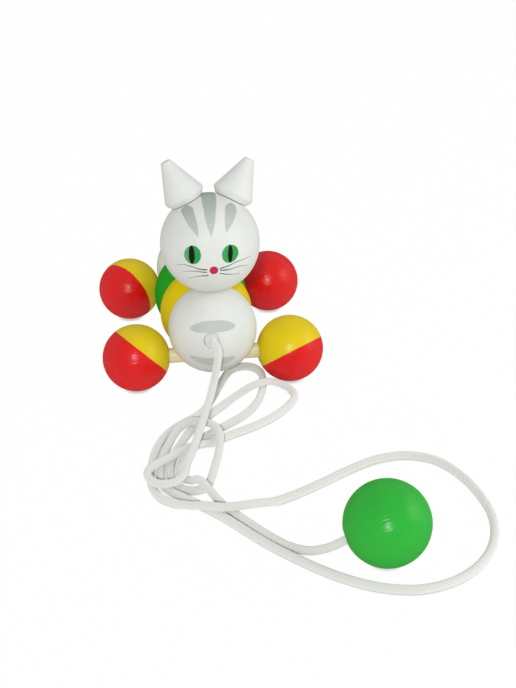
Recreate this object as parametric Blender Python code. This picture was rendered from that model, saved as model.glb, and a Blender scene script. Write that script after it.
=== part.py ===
"""Turned wooden cat pull toy: balls, beads and cones on dowels, four ball wheels, a cord and a pull ball.

Metres, Z up.  The cat looks along -Y, and the origin is on the floor midway between the axles.
"""
import math

import bmesh
import bpy
import numpy as np
from mathutils import Euler, Vector

# Wheels and axles
WHEEL_R = 0.0180
WHEEL_HOLE_DEPTH = 0.0240
AXLE_R = 0.0040
AXLE_PLAY = 0.0004
BODY_RISE = 0.0135
WHEEL_SIDE_GAP = 0.00085

# Body pieces along the spine, front to back
CHEST_R = 0.0237
CHEST_SETBACK = 0.0030
CHEST_FLAT = 0.0095
YELLOW_R = 0.0251
YELLOW_LENGTH = 0.0227
YELLOW_X = -0.0015
GREEN_R = 0.0257
GREEN_LENGTH = 0.0257
GREEN_X = -0.0026
BEAD_ROUNDING = 0.0052
REAR_R = 0.0250
REAR_FLAT = 0.0229
REAR_SETBACK = 0.0043
SPINE_R = 0.0050
SPINE_DEPTH = 0.0120

# Head and ears
HEAD_R = 0.0260
NECK_FLAT_R = 0.0066
NECK_LEAN = math.radians(4.35)
NECK_PIN_R = 0.0040
NECK_PIN_DEPTH = 0.0120
EAR_R = 0.0111
EAR_EDGE = 0.0024
EAR_BELLY = 0.0033
EAR_HEIGHT = 0.0234
EAR_TIP_R = 0.0026
EAR_SPREAD_LEFT = math.radians(26.2)
EAR_SPREAD_RIGHT = math.radians(28.5)
EAR_BACK_LEFT = math.radians(9.0)
EAR_BACK_RIGHT = math.radians(15.5)
EAR_PIN_R = 0.0025
EAR_PIN_DEPTH = 0.0080

# Cord, its holes and the pull ball
CORD_R = 0.0020
CORD_HOLE_R = 0.0042
CORD_HOLE_X = -0.0022
CORD_HOLE_RISE = 0.0039
CORD_HOLE_DEPTH = 0.0152
CORD_SHIFT = 0.0009
WEDGE_RECESS = 0.0020
PULL_R = 0.0193
PULL_X = 0.0582
PULL_Y = -0.2140
PULL_HOLE_R = 0.0036
PULL_HOLE_DEPTH = 0.0150
PULL_HOLE_TILT = math.radians(18.0)

# Clearances
GAP = 0.0003
SEAT_MARGIN = 0.0005
EDGE = 0.0004

# Facets
BALL_SIDES = 36
BALL_RINGS = 18
WHEEL_SIDES = 28
WHEEL_RINGS = 14
EAR_SIDES = 28
DOWEL_SIDES = 20

# Derived positions
AXLE_Z = WHEEL_R
SPINE_Z = AXLE_Z + BODY_RISE
WHEEL_BASE = (CHEST_SETBACK + CHEST_FLAT + YELLOW_LENGTH + GREEN_LENGTH + REAR_FLAT + REAR_SETBACK
              + 3 * GAP)
FRONT_AXLE_Y = -WHEEL_BASE / 2
REAR_AXLE_Y = WHEEL_BASE / 2
CHEST_Y = FRONT_AXLE_Y + CHEST_SETBACK
YELLOW_Y = CHEST_Y + CHEST_FLAT + GAP
GREEN_Y = YELLOW_Y + YELLOW_LENGTH + GAP
REAR_Y = REAR_AXLE_Y - REAR_SETBACK
BORE_R = AXLE_R + AXLE_PLAY


def side_reach(ball_r, setback):
    """Half track at which a wheel clears a body ball by the side gap."""
    return math.sqrt((ball_r + WHEEL_R + WHEEL_SIDE_GAP) ** 2 - setback ** 2 - BODY_RISE ** 2)


HALF_TRACK = max(side_reach(CHEST_R, CHEST_SETBACK), side_reach(REAR_R, REAR_SETBACK))
AXLE_HALF = HALF_TRACK - WHEEL_R + WHEEL_HOLE_DEPTH - GAP

LEAN = Euler((-NECK_LEAN, 0.0, 0.0))
UP = Vector((0.0, math.sin(NECK_LEAN), math.cos(NECK_LEAN)))
CHEST_AT = Vector((0.0, CHEST_Y, SPINE_Z))
NECK_LOW = math.sqrt(CHEST_R ** 2 - NECK_FLAT_R ** 2)
NECK_HIGH = math.sqrt(HEAD_R ** 2 - NECK_FLAT_R ** 2)
HEAD_AT = CHEST_AT + UP * (NECK_LOW + GAP + NECK_HIGH)

EAR_BASE_R = EAR_R - EAR_EDGE
EAR_FLAT_R = EAR_BASE_R + SEAT_MARGIN
EAR_SEAT = math.sqrt(HEAD_R ** 2 - EAR_FLAT_R ** 2)

CORD_HOLE_Z = SPINE_Z + CORD_HOLE_RISE
CHEST_FRONT = CHEST_Y - CHEST_R
CORD_HOLE_END = CHEST_FRONT + CORD_HOLE_DEPTH

PULL_AT = Vector((PULL_X, PULL_Y, PULL_R))
PULL_OUT = Vector((-math.cos(PULL_HOLE_TILT), 0.0, -math.sin(PULL_HOLE_TILT)))
PULL_DOWN = Vector((math.sin(PULL_HOLE_TILT), 0.0, -math.cos(PULL_HOLE_TILT)))

# Route of the cord between its two holes, in millimetres, chosen by hand along the picture's cord
CORD_ROUTE = [
    # down in front of the chest and over the pile
    (-0.2, -69.9, 34.1), (0.2, -72.3, 32.6), (-0.4, -74.5, 29.9), (-1.7, -77.1, 24.6),
    (-3.6, -80.5, 18.6), (-6.0, -86.5, 14.4),
    (-8.8, -95.5, 12.6), (-11.8, -107.0, 12.2), (-15.2, -119.0, 11.6), (-19.0, -130.5, 9.8),
    (-22.4, -139.2, 8.8),
    # hairpin on top of the left turns
    (-24.0, -146.6, 8.3), (-28.4, -151.8, 7.7), (-35.2, -152.3, 7.2), (-40.2, -147.6, 7.1),
    (-40.9, -140.6, 7.1), (-36.9, -134.9, 7.1), (-30.0, -129.5, 7.1), (-22.5, -123.4, 7.5),
    (-15.0, -117.0, 5.3),
    # right loop, near leg, end and far leg
    (-7.0, -110.3, 2.4), (3.0, -104.0, 2.25), (14.0, -98.3, 2.25), (25.0, -90.5, 2.25),
    (34.5, -80.5, 2.25), (40.4, -69.8, 2.25), (38.5, -61.2, 2.6), (30.0, -58.8, 5.9),
    (20.8, -62.8, 7.2), (12.0, -66.8, 4.8), (4.0, -71.8, 2.4), (-3.5, -79.8, 2.25),
    # second left turn, then the small loop upwards
    (-9.5, -88.0, 2.25), (-15.5, -95.0, 2.25), (-20.3, -103.6, 2.25), (-24.6, -113.4, 2.25),
    (-28.4, -124.6, 2.25), (-30.1, -135.2, 2.25), (-29.3, -142.6, 2.25), (-26.8, -148.8, 2.25),
    (-20.4, -152.2, 2.25), (-14.0, -149.7, 2.25), (-11.1, -142.8, 2.25), (-8.3, -132.5, 2.25),
    (-5.4, -122.0, 3.6), (-3.7, -112.5, 6.8), (-4.8, -104.0, 7.1), (-9.8, -98.2, 7.1),
    # third left turn, then away to the ball
    (-17.0, -97.0, 7.1), (-23.6, -101.0, 5.4), (-28.6, -108.8, 2.8), (-31.9, -118.6, 2.25),
    (-34.2, -129.6, 2.25), (-34.9, -139.5, 2.25), (-33.5, -147.0, 2.25), (-30.0, -152.4, 2.25),
    (-25.0, -157.6, 2.25), (-17.9, -164.8, 2.25), (-9.2, -174.5, 2.25), (-1.4, -185.1, 2.25),
    (5.3, -194.3, 2.25), (12.1, -202.8, 2.25), (19.3, -210.6, 2.25),
    # wide loop round the ball
    (27.3, -218.7, 2.25), (38.5, -228.0, 2.25), (53.0, -236.0, 2.25), (69.0, -238.8, 2.25),
    (85.0, -234.4, 2.25), (98.5, -224.0, 2.25), (107.8, -209.5, 2.25), (112.3, -192.0, 2.25),
    (111.5, -173.0, 2.25), (107.0, -155.5, 2.25), (98.5, -141.3, 2.25), (86.0, -135.2, 2.25),
    (71.0, -136.7, 2.25), (55.0, -144.5, 2.25), (40.0, -154.0, 2.25), (25.5, -162.3, 2.25),
    # over two strands, and the outer left turn
    (15.0, -167.8, 3.2), (7.5, -171.8, 5.8), (-0.5, -174.6, 7.1), (-9.0, -174.6, 7.1),
    (-16.5, -171.6, 6.6), (-23.6, -166.6, 4.0), (-30.6, -161.0, 2.4), (-36.6, -155.0, 2.25),
    (-39.4, -146.4, 2.25), (-39.6, -136.0, 2.25), (-38.2, -124.5, 2.25), (-35.2, -112.5, 2.25),
    (-31.0, -102.5, 2.25), (-25.6, -94.8, 2.25), (-19.5, -89.2, 2.25), (-13.2, -83.8, 2.25),
    (-8.0, -76.8, 2.25),
    # loop under the chest
    (-3.6, -67.0, 2.25), (1.0, -55.5, 2.25), (5.3, -44.6, 2.25), (9.2, -36.9, 2.25),
    (14.6, -32.6, 2.25), (21.3, -33.4, 2.25), (25.5, -39.2, 2.25), (26.1, -49.0, 2.25),
    (24.3, -60.5, 2.25), (19.5, -74.0, 2.25), (11.5, -85.5, 2.25),
    # inner left turn, then along to the pull ball
    (2.5, -93.5, 2.25), (-5.8, -100.3, 2.25), (-12.8, -107.0, 2.25), (-18.8, -114.8, 2.25),
    (-23.1, -124.3, 2.25), (-25.2, -134.0, 2.25), (-24.3, -140.6, 2.4), (-20.8, -147.1, 4.7),
    (-17.3, -152.4, 8.0), (-13.2, -158.4, 5.9), (-8.0, -165.8, 2.5), (-1.3, -176.2, 2.25),
    (5.3, -186.2, 2.25), (11.8, -195.2, 2.25), (18.4, -202.3, 2.3), (25.0, -207.2, 3.2),
    (30.6, -210.6, 5.8), (35.8, -213.0, 9.2),
]
MILLIMETRE = 0.001
CORD_STEP = 3.5 * CORD_R


def material(name, colour, roughness):
    """Principled material from an sRGB colour (0 to 255)."""
    shader = bpy.data.materials.new(name)
    shader.use_nodes = True
    bsdf = shader.node_tree.nodes["Principled BSDF"]
    linear = [((c / 255 + 0.055) / 1.055) ** 2.4 for c in colour]
    bsdf.inputs["Base Color"].default_value = (*linear, 1.0)
    bsdf.inputs["Roughness"].default_value = roughness
    bsdf.inputs["Metallic"].default_value = 0.0
    shader.diffuse_color = (*linear, 1.0)
    return shader


def place(name, data, at, turn, shader):
    """New object from mesh or curve data."""
    obj = bpy.data.objects.new(name, data)
    obj.location = at
    obj.rotation_euler = turn
    if shader is not None:
        data.materials.append(shader)
    bpy.context.scene.collection.objects.link(obj)
    return obj


def smooth(mesh):
    """Shade a round piece smooth and keep its rims sharp."""
    mesh.shade_smooth()
    mesh.set_sharp_from_angle(angle=math.radians(35.0))


def turned(name, profile, sides, at, turn, shader):
    """Lathe body about its own Z.

    The profile is (radius, height), starts and ends on the axis and runs down the outer side.
    """
    bm = bmesh.new()
    rings = []
    for radius, height in profile:
        if radius == 0.0:
            rings.append([bm.verts.new((0.0, 0.0, height))])
            continue
        angles = [2 * math.pi * k / sides for k in range(sides)]
        rings.append([bm.verts.new((radius * math.cos(a), radius * math.sin(a), height)) for a in angles])
    for upper, lower in zip(rings[:-1], rings[1:]):
        for k in range(sides):
            n = (k + 1) % sides
            corners = [upper[k % len(upper)], lower[k % len(lower)]]
            corners += [lower[n % len(lower)], upper[n % len(upper)]]
            bm.faces.new(list(dict.fromkeys(corners)))
    mesh = bpy.data.meshes.new(name)
    bm.to_mesh(mesh)
    bm.free()
    smooth(mesh)
    return place(name, mesh, at, turn, shader)


def arc(radius, top, bottom, rings):
    """Points of a ball's outline between two heights, top first."""
    first = math.acos(max(-1.0, min(1.0, top / radius)))
    last = math.acos(max(-1.0, min(1.0, bottom / radius)))
    count = max(2, round(rings * (last - first) / math.pi))
    angles = [first + (last - first) * k / count for k in range(count + 1)]
    points = [(radius * math.sin(a), radius * math.cos(a)) for a in angles]
    if top >= radius:
        points[0] = (0.0, radius)
    if bottom <= -radius:
        points[-1] = (0.0, -radius)
    return points


def rod(name, radius, low, high, at, turn, shader, sides=DOWEL_SIDES, edge=EDGE):
    """Dowel along its own Z with a small chamfer at both ends."""
    profile = [(0.0, high), (radius - edge, high), (radius, high - edge), (radius, low + edge),
               (radius - edge, low), (0.0, low)]
    return turned(name, profile, sides, at, turn, shader)


def drill(radius, low, high, at, turn, sides=DOWEL_SIDES):
    """Plain cylinder used to cut a hole."""
    profile = [(0.0, high), (radius, high), (radius, low), (0.0, low)]
    return turned("drill", profile, sides, at, turn, None)


def spot_face(hole_r, hole_low, seat, face_r, high, at, turn, sides=DOWEL_SIDES):
    """Stepped cutter: a blind hole with a wide flat at its mouth."""
    profile = [(0.0, high), (face_r, high), (face_r, seat)]
    profile += [(hole_r, seat), (hole_r, hole_low), (0.0, hole_low)]
    return turned("spot_face", profile, sides, at, turn, None)


def cut(obj, cutters):
    """Take the cutters out of a body and keep the result as its mesh."""
    for cutter in cutters:
        step = obj.modifiers.new("cut", "BOOLEAN")
        step.operation = "DIFFERENCE"
        step.solver = "EXACT"
        step.object = cutter
    bpy.context.view_layer.update()
    graph = bpy.context.evaluated_depsgraph_get()
    mesh = bpy.data.meshes.new_from_object(obj.evaluated_get(graph))
    obj.modifiers.clear()
    obj.data = mesh
    mesh.name = obj.name
    smooth(mesh)
    for cutter in cutters:
        bpy.data.objects.remove(cutter, do_unlink=True)


def wedge(name, hole_r, flat, low, high, at, turn, shader, sides=12):
    """Half-round plug along its own Z: the part of a disc on the -X side of a flat."""
    radius = hole_r - GAP
    half = math.acos(-flat / radius)
    angles = [math.pi - half + 2 * half * k / sides for k in range(sides + 1)]
    outline = [(radius * math.cos(a), radius * math.sin(a)) for a in angles]
    bm = bmesh.new()
    lower = [bm.verts.new((x, y, low)) for x, y in outline]
    upper = [bm.verts.new((x, y, high)) for x, y in outline]
    bm.faces.new(list(reversed(lower)))
    bm.faces.new(upper)
    for k in range(len(outline)):
        n = (k + 1) % len(outline)
        bm.faces.new([lower[k], lower[n], upper[n], upper[k]])
    mesh = bpy.data.meshes.new(name)
    bm.to_mesh(mesh)
    bm.free()
    smooth(mesh)
    return place(name, mesh, at, turn, shader)


def bead(name, radius, length, aside, front, shader):
    """Barrel bead, drilled a little off its middle for the spine.

    Its outline is an ellipse's middle, so that the rims drop by the rounding.
    """
    face = radius - BEAD_ROUNDING
    reach = (length / 2) / math.sqrt(1 - (face / radius) ** 2)
    steps = 8
    heights = [length / 2 - length * k / steps for k in range(steps + 1)]
    profile = [(0.0, length / 2)]
    profile += [(radius * math.sqrt(1 - (h / reach) ** 2), h) for h in heights]
    profile += [(0.0, -length / 2)]
    middle = front + length / 2
    barrel = turned(name, profile, BALL_SIDES, (aside, middle, SPINE_Z), BACKWARD, shader)
    cut(barrel, [drill(SPINE_R + GAP, -length, length, (0.0, middle, SPINE_Z), BACKWARD)])


def smooth_route(points, per_span=12):
    """Centripetal Catmull-Rom curve through the points."""
    points = np.asarray(points, dtype=float)
    padded = np.vstack([2 * points[0] - points[1], points, 2 * points[-1] - points[-2]])
    spans = []
    for a, b, c, d in zip(padded[:-3], padded[1:-2], padded[2:-1], padded[3:]):
        t1 = np.linalg.norm(b - a) ** 0.5
        t2 = t1 + np.linalg.norm(c - b) ** 0.5
        t3 = t2 + np.linalg.norm(d - c) ** 0.5
        t = np.linspace(t1, t2, per_span, endpoint=False)[:, None]
        ab = (t1 - t) / t1 * a + t / t1 * b
        bc = (t2 - t) / (t2 - t1) * b + (t - t1) / (t2 - t1) * c
        cd = (t3 - t) / (t3 - t2) * c + (t - t2) / (t3 - t2) * d
        abc = (t2 - t) / t2 * ab + t / t2 * bc
        bcd = (t3 - t) / (t3 - t1) * bc + (t - t1) / (t3 - t1) * cd
        spans.append((t2 - t) / (t2 - t1) * abc + (t - t1) / (t2 - t1) * bcd)
    return np.vstack(spans + [points[-1:]])


def even_points(line, step):
    """Points at equal distances along a line, and its length."""
    run = np.concatenate([[0.0], np.cumsum(np.linalg.norm(np.diff(line, axis=0), axis=1))])
    count = int(math.ceil(run[-1] / step)) + 1
    at = np.linspace(0.0, run[-1], count)
    return np.stack([np.interp(at, run, line[:, k]) for k in range(3)], axis=1), run[-1]


def least_gap(line):
    """Least space between the cord's surface and another turn of the cord."""
    dense, _ = even_points(line, CORD_R / 2)
    apart = np.linalg.norm(dense[:, None] - dense[None], axis=2)
    index = np.arange(len(dense))
    apart[np.abs(index[:, None] - index[None]) < 26] = 1.0
    return apart.min() - 2 * CORD_R


for old in list(bpy.data.objects):
    bpy.data.objects.remove(old, do_unlink=True)

BACKWARD = Euler((-math.pi / 2, 0.0, 0.0))
FORWARD = Euler((math.pi / 2, 0.0, 0.0))
TO_RIGHT = Euler((0.0, math.pi / 2, 0.0))
TO_LEFT = Euler((0.0, -math.pi / 2, 0.0))

WHITE = (228, 230, 226)
RED = (205, 35, 40)
YELLOW = (205, 185, 25)
GREEN = (40, 145, 45)
BALL_GREEN = (55, 180, 65)
WOOD = (225, 215, 175)
CORD = (222, 222, 215)

# Chest: a ball with a flat at the back for the beads and a spot face for the neck
spine_hole = SPINE_R + GAP
chest_outline = [(0.0, CHEST_FLAT - SPINE_DEPTH - GAP), (spine_hole, CHEST_FLAT - SPINE_DEPTH - GAP),
                 (spine_hole, CHEST_FLAT)]
chest_outline += arc(CHEST_R, CHEST_FLAT, -CHEST_R, BALL_RINGS)
chest = turned("chest_ball", chest_outline, BALL_SIDES, CHEST_AT, BACKWARD,
               material("chest_paint", WHITE, 0.35))
cut(chest, [
    spot_face(NECK_PIN_R + GAP, NECK_LOW - NECK_PIN_DEPTH - GAP, NECK_LOW, 2 * NECK_FLAT_R,
              CHEST_R + NECK_FLAT_R, CHEST_AT, LEAN),
    drill(BORE_R, -2 * CHEST_R, 2 * CHEST_R, (0.0, FRONT_AXLE_Y, AXLE_Z), TO_RIGHT),
    drill(CORD_HOLE_R, -CORD_HOLE_DEPTH, CHEST_R, (CORD_HOLE_X, CHEST_FRONT, CORD_HOLE_Z), FORWARD),
])

# Head: a ball with a flat under it and two seats for the ears
neck_hole = NECK_PIN_R + GAP
head_outline = arc(HEAD_R, HEAD_R, -NECK_HIGH, BALL_RINGS)
head_outline += [(neck_hole, -NECK_HIGH), (neck_hole, NECK_PIN_DEPTH + GAP - NECK_HIGH),
                 (0.0, NECK_PIN_DEPTH + GAP - NECK_HIGH)]
head = turned("head_ball", head_outline, BALL_SIDES, HEAD_AT, LEAN, material("head_paint", WHITE, 0.35))
ear_turns = {}
for side, spread, back in (("left", -EAR_SPREAD_LEFT, EAR_BACK_LEFT),
                           ("right", EAR_SPREAD_RIGHT, EAR_BACK_RIGHT)):
    ear_lean = Euler((-NECK_LEAN - back, 0.0, 0.0)).to_matrix()
    ear_turns[side] = (ear_lean @ Euler((0.0, spread, 0.0)).to_matrix()).to_euler()
cut(head, [
    spot_face(EAR_PIN_R + GAP, EAR_SEAT - EAR_PIN_DEPTH - GAP, EAR_SEAT, EAR_FLAT_R + 2 * SEAT_MARGIN,
              HEAD_R + EAR_FLAT_R, HEAD_AT, ear_turn)
    for ear_turn in ear_turns.values()
])

# Ears and their pins
ear_low = EAR_SEAT + GAP
ear_hole = EAR_PIN_R + GAP
ear_outline = [(0.0, ear_low + EAR_HEIGHT), (EAR_TIP_R - EDGE, ear_low + EAR_HEIGHT),
               (EAR_TIP_R, ear_low + EAR_HEIGHT - EDGE), (EAR_R, ear_low + EAR_BELLY),
               (EAR_R - EAR_EDGE / 4, ear_low + EAR_BELLY / 2), (EAR_BASE_R, ear_low),
               (ear_hole, ear_low), (ear_hole, ear_low + EAR_PIN_DEPTH + GAP),
               (0.0, ear_low + EAR_PIN_DEPTH + GAP)]
for side, ear_turn in ear_turns.items():
    turned("ear_" + side, ear_outline, EAR_SIDES, HEAD_AT, ear_turn,
           material("ear_paint_" + side, WHITE, 0.35))
    rod("ear_pin_" + side, EAR_PIN_R, EAR_SEAT - EAR_PIN_DEPTH, ear_low + EAR_PIN_DEPTH, HEAD_AT, ear_turn,
        material("ear_pin_wood_" + side, WOOD, 0.6))

# Body beads, rear ball and the dowels that join them
bead("yellow_bead", YELLOW_R, YELLOW_LENGTH, YELLOW_X, YELLOW_Y, material("yellow_paint", YELLOW, 0.35))
bead("green_bead", GREEN_R, GREEN_LENGTH, GREEN_X, GREEN_Y, material("green_paint", GREEN, 0.35))
rear_outline = arc(REAR_R, REAR_R, -REAR_FLAT, BALL_RINGS)
rear_outline += [(spine_hole, -REAR_FLAT), (spine_hole, SPINE_DEPTH + GAP - REAR_FLAT),
                 (0.0, SPINE_DEPTH + GAP - REAR_FLAT)]
rear = turned("rear_ball", rear_outline, BALL_SIDES, (0.0, REAR_Y, SPINE_Z), BACKWARD,
              material("rear_paint", WHITE, 0.35))
cut(rear, [drill(BORE_R, -2 * REAR_R, 2 * REAR_R, (0.0, REAR_AXLE_Y, AXLE_Z), TO_RIGHT)])
rod("spine_dowel", SPINE_R, CHEST_Y + CHEST_FLAT - SPINE_DEPTH, REAR_Y - REAR_FLAT + SPINE_DEPTH,
    (0.0, 0.0, SPINE_Z), BACKWARD, material("spine_wood", WOOD, 0.6))
rod("neck_dowel", NECK_PIN_R, NECK_LOW - NECK_PIN_DEPTH, NECK_LOW + GAP + NECK_PIN_DEPTH, CHEST_AT, LEAN,
    material("neck_wood", WOOD, 0.6))

# Axles and wheels, each with its origin on the axle's line
wheel_hole = AXLE_R + GAP
wheel_bottom = WHEEL_R - WHEEL_HOLE_DEPTH
wheel_outline = [(0.0, wheel_bottom), (wheel_hole, wheel_bottom)]
wheel_outline += arc(WHEEL_R, math.sqrt(WHEEL_R ** 2 - wheel_hole ** 2), -WHEEL_R, WHEEL_RINGS)
for row, axle_y in (("front", FRONT_AXLE_Y), ("rear", REAR_AXLE_Y)):
    rod(row + "_axle", AXLE_R, -AXLE_HALF, AXLE_HALF, (0.0, axle_y, AXLE_Z), TO_RIGHT,
        material(row + "_axle_wood", WOOD, 0.6))
    for side, sign, inward in (("left", -1.0, TO_RIGHT), ("right", 1.0, TO_LEFT)):
        turned(row + "_" + side + "_wheel", wheel_outline, WHEEL_SIDES, (sign * HALF_TRACK, axle_y, AXLE_Z),
               inward, material(row + "_" + side + "_wheel_paint", RED, 0.35))

# Plug beside the cord in the chest
wedge("cord_wedge", CORD_HOLE_R, CORD_SHIFT - CORD_R - GAP, GAP - CORD_HOLE_DEPTH, -WEDGE_RECESS,
      (CORD_HOLE_X, CHEST_FRONT, CORD_HOLE_Z), FORWARD, material("cord_wedge_paint", WHITE, 0.35))

# Pull ball with its own hole and plug
pull_turn = PULL_OUT.to_track_quat("Z", "Y").to_euler()
pull = turned("pull_ball", arc(PULL_R, PULL_R, -PULL_R, BALL_RINGS), BALL_SIDES, PULL_AT, (0.0, 0.0, 0.0),
              material("pull_ball_paint", BALL_GREEN, 0.35))
cut(pull, [drill(PULL_HOLE_R, PULL_R - PULL_HOLE_DEPTH, 2 * PULL_R, PULL_AT, pull_turn)])
pull_shift = PULL_HOLE_R - CORD_R - GAP
pull_frame = pull_turn.to_matrix()
down_angle = math.atan2(PULL_DOWN.dot(pull_frame.col[1]), PULL_DOWN.dot(pull_frame.col[0]))
pull_wedge_turn = (pull_frame @ Euler((0.0, 0.0, down_angle)).to_matrix()).to_euler()
wedge("pull_ball_wedge", PULL_HOLE_R, pull_shift - CORD_R - GAP, PULL_R - PULL_HOLE_DEPTH + GAP,
      PULL_R - WEDGE_RECESS / 2, PULL_AT, pull_wedge_turn, material("pull_wedge_wood", WOOD, 0.6))

# Cord from the chest's hole to the pull ball's hole
cord_x = CORD_HOLE_X + CORD_SHIFT
route = [(cord_x, CORD_HOLE_END - CORD_R, CORD_HOLE_Z), (cord_x, CHEST_FRONT + 2.6 * CORD_R, CORD_HOLE_Z),
         (cord_x, CHEST_FRONT - 0.9 * CORD_R, CORD_HOLE_Z - 0.05 * CORD_R)]
route += [tuple(MILLIMETRE * v for v in point) for point in CORD_ROUTE]
pull_mouth = PULL_AT + PULL_DOWN * pull_shift + PULL_OUT * PULL_R
route += [tuple(pull_mouth), tuple(pull_mouth - PULL_OUT * 3 * CORD_R)]
line = smooth_route(route)
points, length = even_points(line, CORD_STEP)
curve = bpy.data.curves.new("pull_cord", "CURVE")
curve.dimensions = "3D"
curve.bevel_depth = CORD_R
curve.bevel_resolution = 2
curve.use_fill_caps = True
spline = curve.splines.new("POLY")
spline.points.add(len(points) - 1)
spline.points.foreach_set("co", np.column_stack([points, np.ones(len(points))]).ravel())
place("pull_cord", curve, (0.0, 0.0, 0.0), (0.0, 0.0, 0.0), material("cord_cotton", CORD, 0.85))
print("cord length %.4f m, points %d, least gap to itself %.5f m" % (length, len(points), least_gap(points)))
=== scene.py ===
"""Turned wooden cat pull toy: finished surfaces, paint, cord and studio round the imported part.

Metres, Z up, the cat looks along -Y.  Laid out as an add-on and run as a script.
"""
import math
from types import SimpleNamespace

import bpy
import numpy as np
from bpy.props import FloatProperty, FloatVectorProperty, PointerProperty
from mathutils import Euler, Matrix, Vector


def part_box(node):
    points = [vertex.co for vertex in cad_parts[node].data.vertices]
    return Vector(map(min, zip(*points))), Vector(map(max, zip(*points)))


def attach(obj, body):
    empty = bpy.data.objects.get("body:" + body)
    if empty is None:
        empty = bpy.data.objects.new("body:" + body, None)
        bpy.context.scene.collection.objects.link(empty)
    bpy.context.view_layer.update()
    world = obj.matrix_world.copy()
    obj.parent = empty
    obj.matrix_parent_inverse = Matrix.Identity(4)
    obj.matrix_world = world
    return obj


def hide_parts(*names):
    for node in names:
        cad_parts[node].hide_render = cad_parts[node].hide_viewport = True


bl_info = {
    "name": "Cat pull toy",
    "version": (1, 0, 0),
    "blender": (4, 5, 0),
    "location": "View3D > Sidebar > Cat toy",
    "description": "Painted wooden cat on four ball wheels, with a cord and a pull ball",
    "category": "Object",
}

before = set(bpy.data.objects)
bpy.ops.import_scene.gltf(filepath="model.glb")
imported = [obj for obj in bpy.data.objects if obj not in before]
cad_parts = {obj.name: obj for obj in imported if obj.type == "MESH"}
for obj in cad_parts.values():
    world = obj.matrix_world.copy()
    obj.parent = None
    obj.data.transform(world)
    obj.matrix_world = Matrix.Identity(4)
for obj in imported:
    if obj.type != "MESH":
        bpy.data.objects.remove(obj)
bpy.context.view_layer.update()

TOY_BODY = "toy_body"
MM = 0.001

# Fits shared with the part
GAP = 0.0003  # round a glued dowel or plug
SEAT_MARGIN = 0.0005  # of an ear's seat past the ear's foot
AXLE_PLAY = 0.0004  # round an axle in its bore
WEDGE_RECESS = 0.0020  # twice the depth of the pull ball's plug below the ball's radius

# Fits of the finished surfaces
EASED_EDGE = 0.0004  # on the rims of beads, axles, plugs and holes
SNUG = 0.0001  # round the cord and its plug in the chest

# Fineness of the surfaces
BALL_SIDES, BALL_RINGS = 128, 64
WHEEL_SIDES, WHEEL_RINGS = 96, 48
DOWEL_SIDES = 64
CORD_SIDES = 20
CORD_ROW = 0.0008
SHARP_ANGLE = math.radians(35.0)

# Head, ears and body shine less than the wheels
MATT = {"gloss": 0.14, "rough": 0.42, "relief": 0.000012}

# Scales of the noises, per metre
PAINT_CLOUDS, PAINT_STIPPLE, PAINT_GRAIN, PAINT_WEAR = 90.0, 2200.0, 1000.0, 260.0
WOOD_GRAIN, WOOD_PORES = 900.0, 3200.0
EDGE_NOISE, HALVES_NOISE = 700.0, 220.0
FLOOR_CLOUDS = 6.0
# What follows: over a range of noise, slant or height, the result goes from one value to another
CLOUD_SHADE, STIPPLE_SHADE = (0.25, 0.75, 0.965, 1.02), (0.3, 0.7, 0.985, 1.01)
WEAR_ROUGHNESS, RIM_ROUGHNESS = (0.3, 0.7, 0.0, 0.08), (0.05, 0.75, 0.0, 0.45)
GRAIN_SHADE, GRAIN_ROUGHNESS = (0.35, 0.75, 0.0, 0.55), (0.3, 0.7, 0.5, 0.65)
# The cotton's range is painted shade: the cord darkens where the plait lies low, between its strands
PORE_EDGE, PLAIT_GROOVE_SHADE = (0.62, 0.72), (0.5, 1.5, 0.96, 1.0)
# How far grain is drawn out: the share of its run that is taken away under paint, the share left in wood
PAINT_DRAWN = 0.9
WOOD_DRAWN, PORES_DRAWN = (0.06, 1.0, 1.0), (0.12, 1.0, 1.0)
# Wood's darker grain and pores
GRAIN_TINT, PORE_TINT, PORE_STRENGTH = (0.74, 0.66, 0.52), 0.7, 0.35
# Shares in the relief of a finish
PAINT_RELIEF = {"grain": 2.5, "stipple": 0.5}
WOOD_RELIEF = {"grain": 0.5, "pores": 0.4}
PLAIT_RELIEF = {"lift": 0.6, "fibre": 0.35}
# Fibres per turn and per metre of the cord, and how much faster blue falls in the painted shade of its
# grooves
FIBRES, WARM_GROOVE_SHADE = (60.0, 5200.0, 1.0), 1.15

UP, LENGTHWISE, SIDEWAYS = (0.0, 0.0, 1.0), (0.0, 1.0, 0.0), (1.0, 0.0, 0.0)
BACKWARD = Euler((-math.pi / 2, 0.0, 0.0)).to_matrix()
FORWARD = Euler((math.pi / 2, 0.0, 0.0)).to_matrix()
TO_RIGHT = Euler((0.0, math.pi / 2, 0.0)).to_matrix()
TO_LEFT = Euler((0.0, -math.pi / 2, 0.0)).to_matrix()
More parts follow.
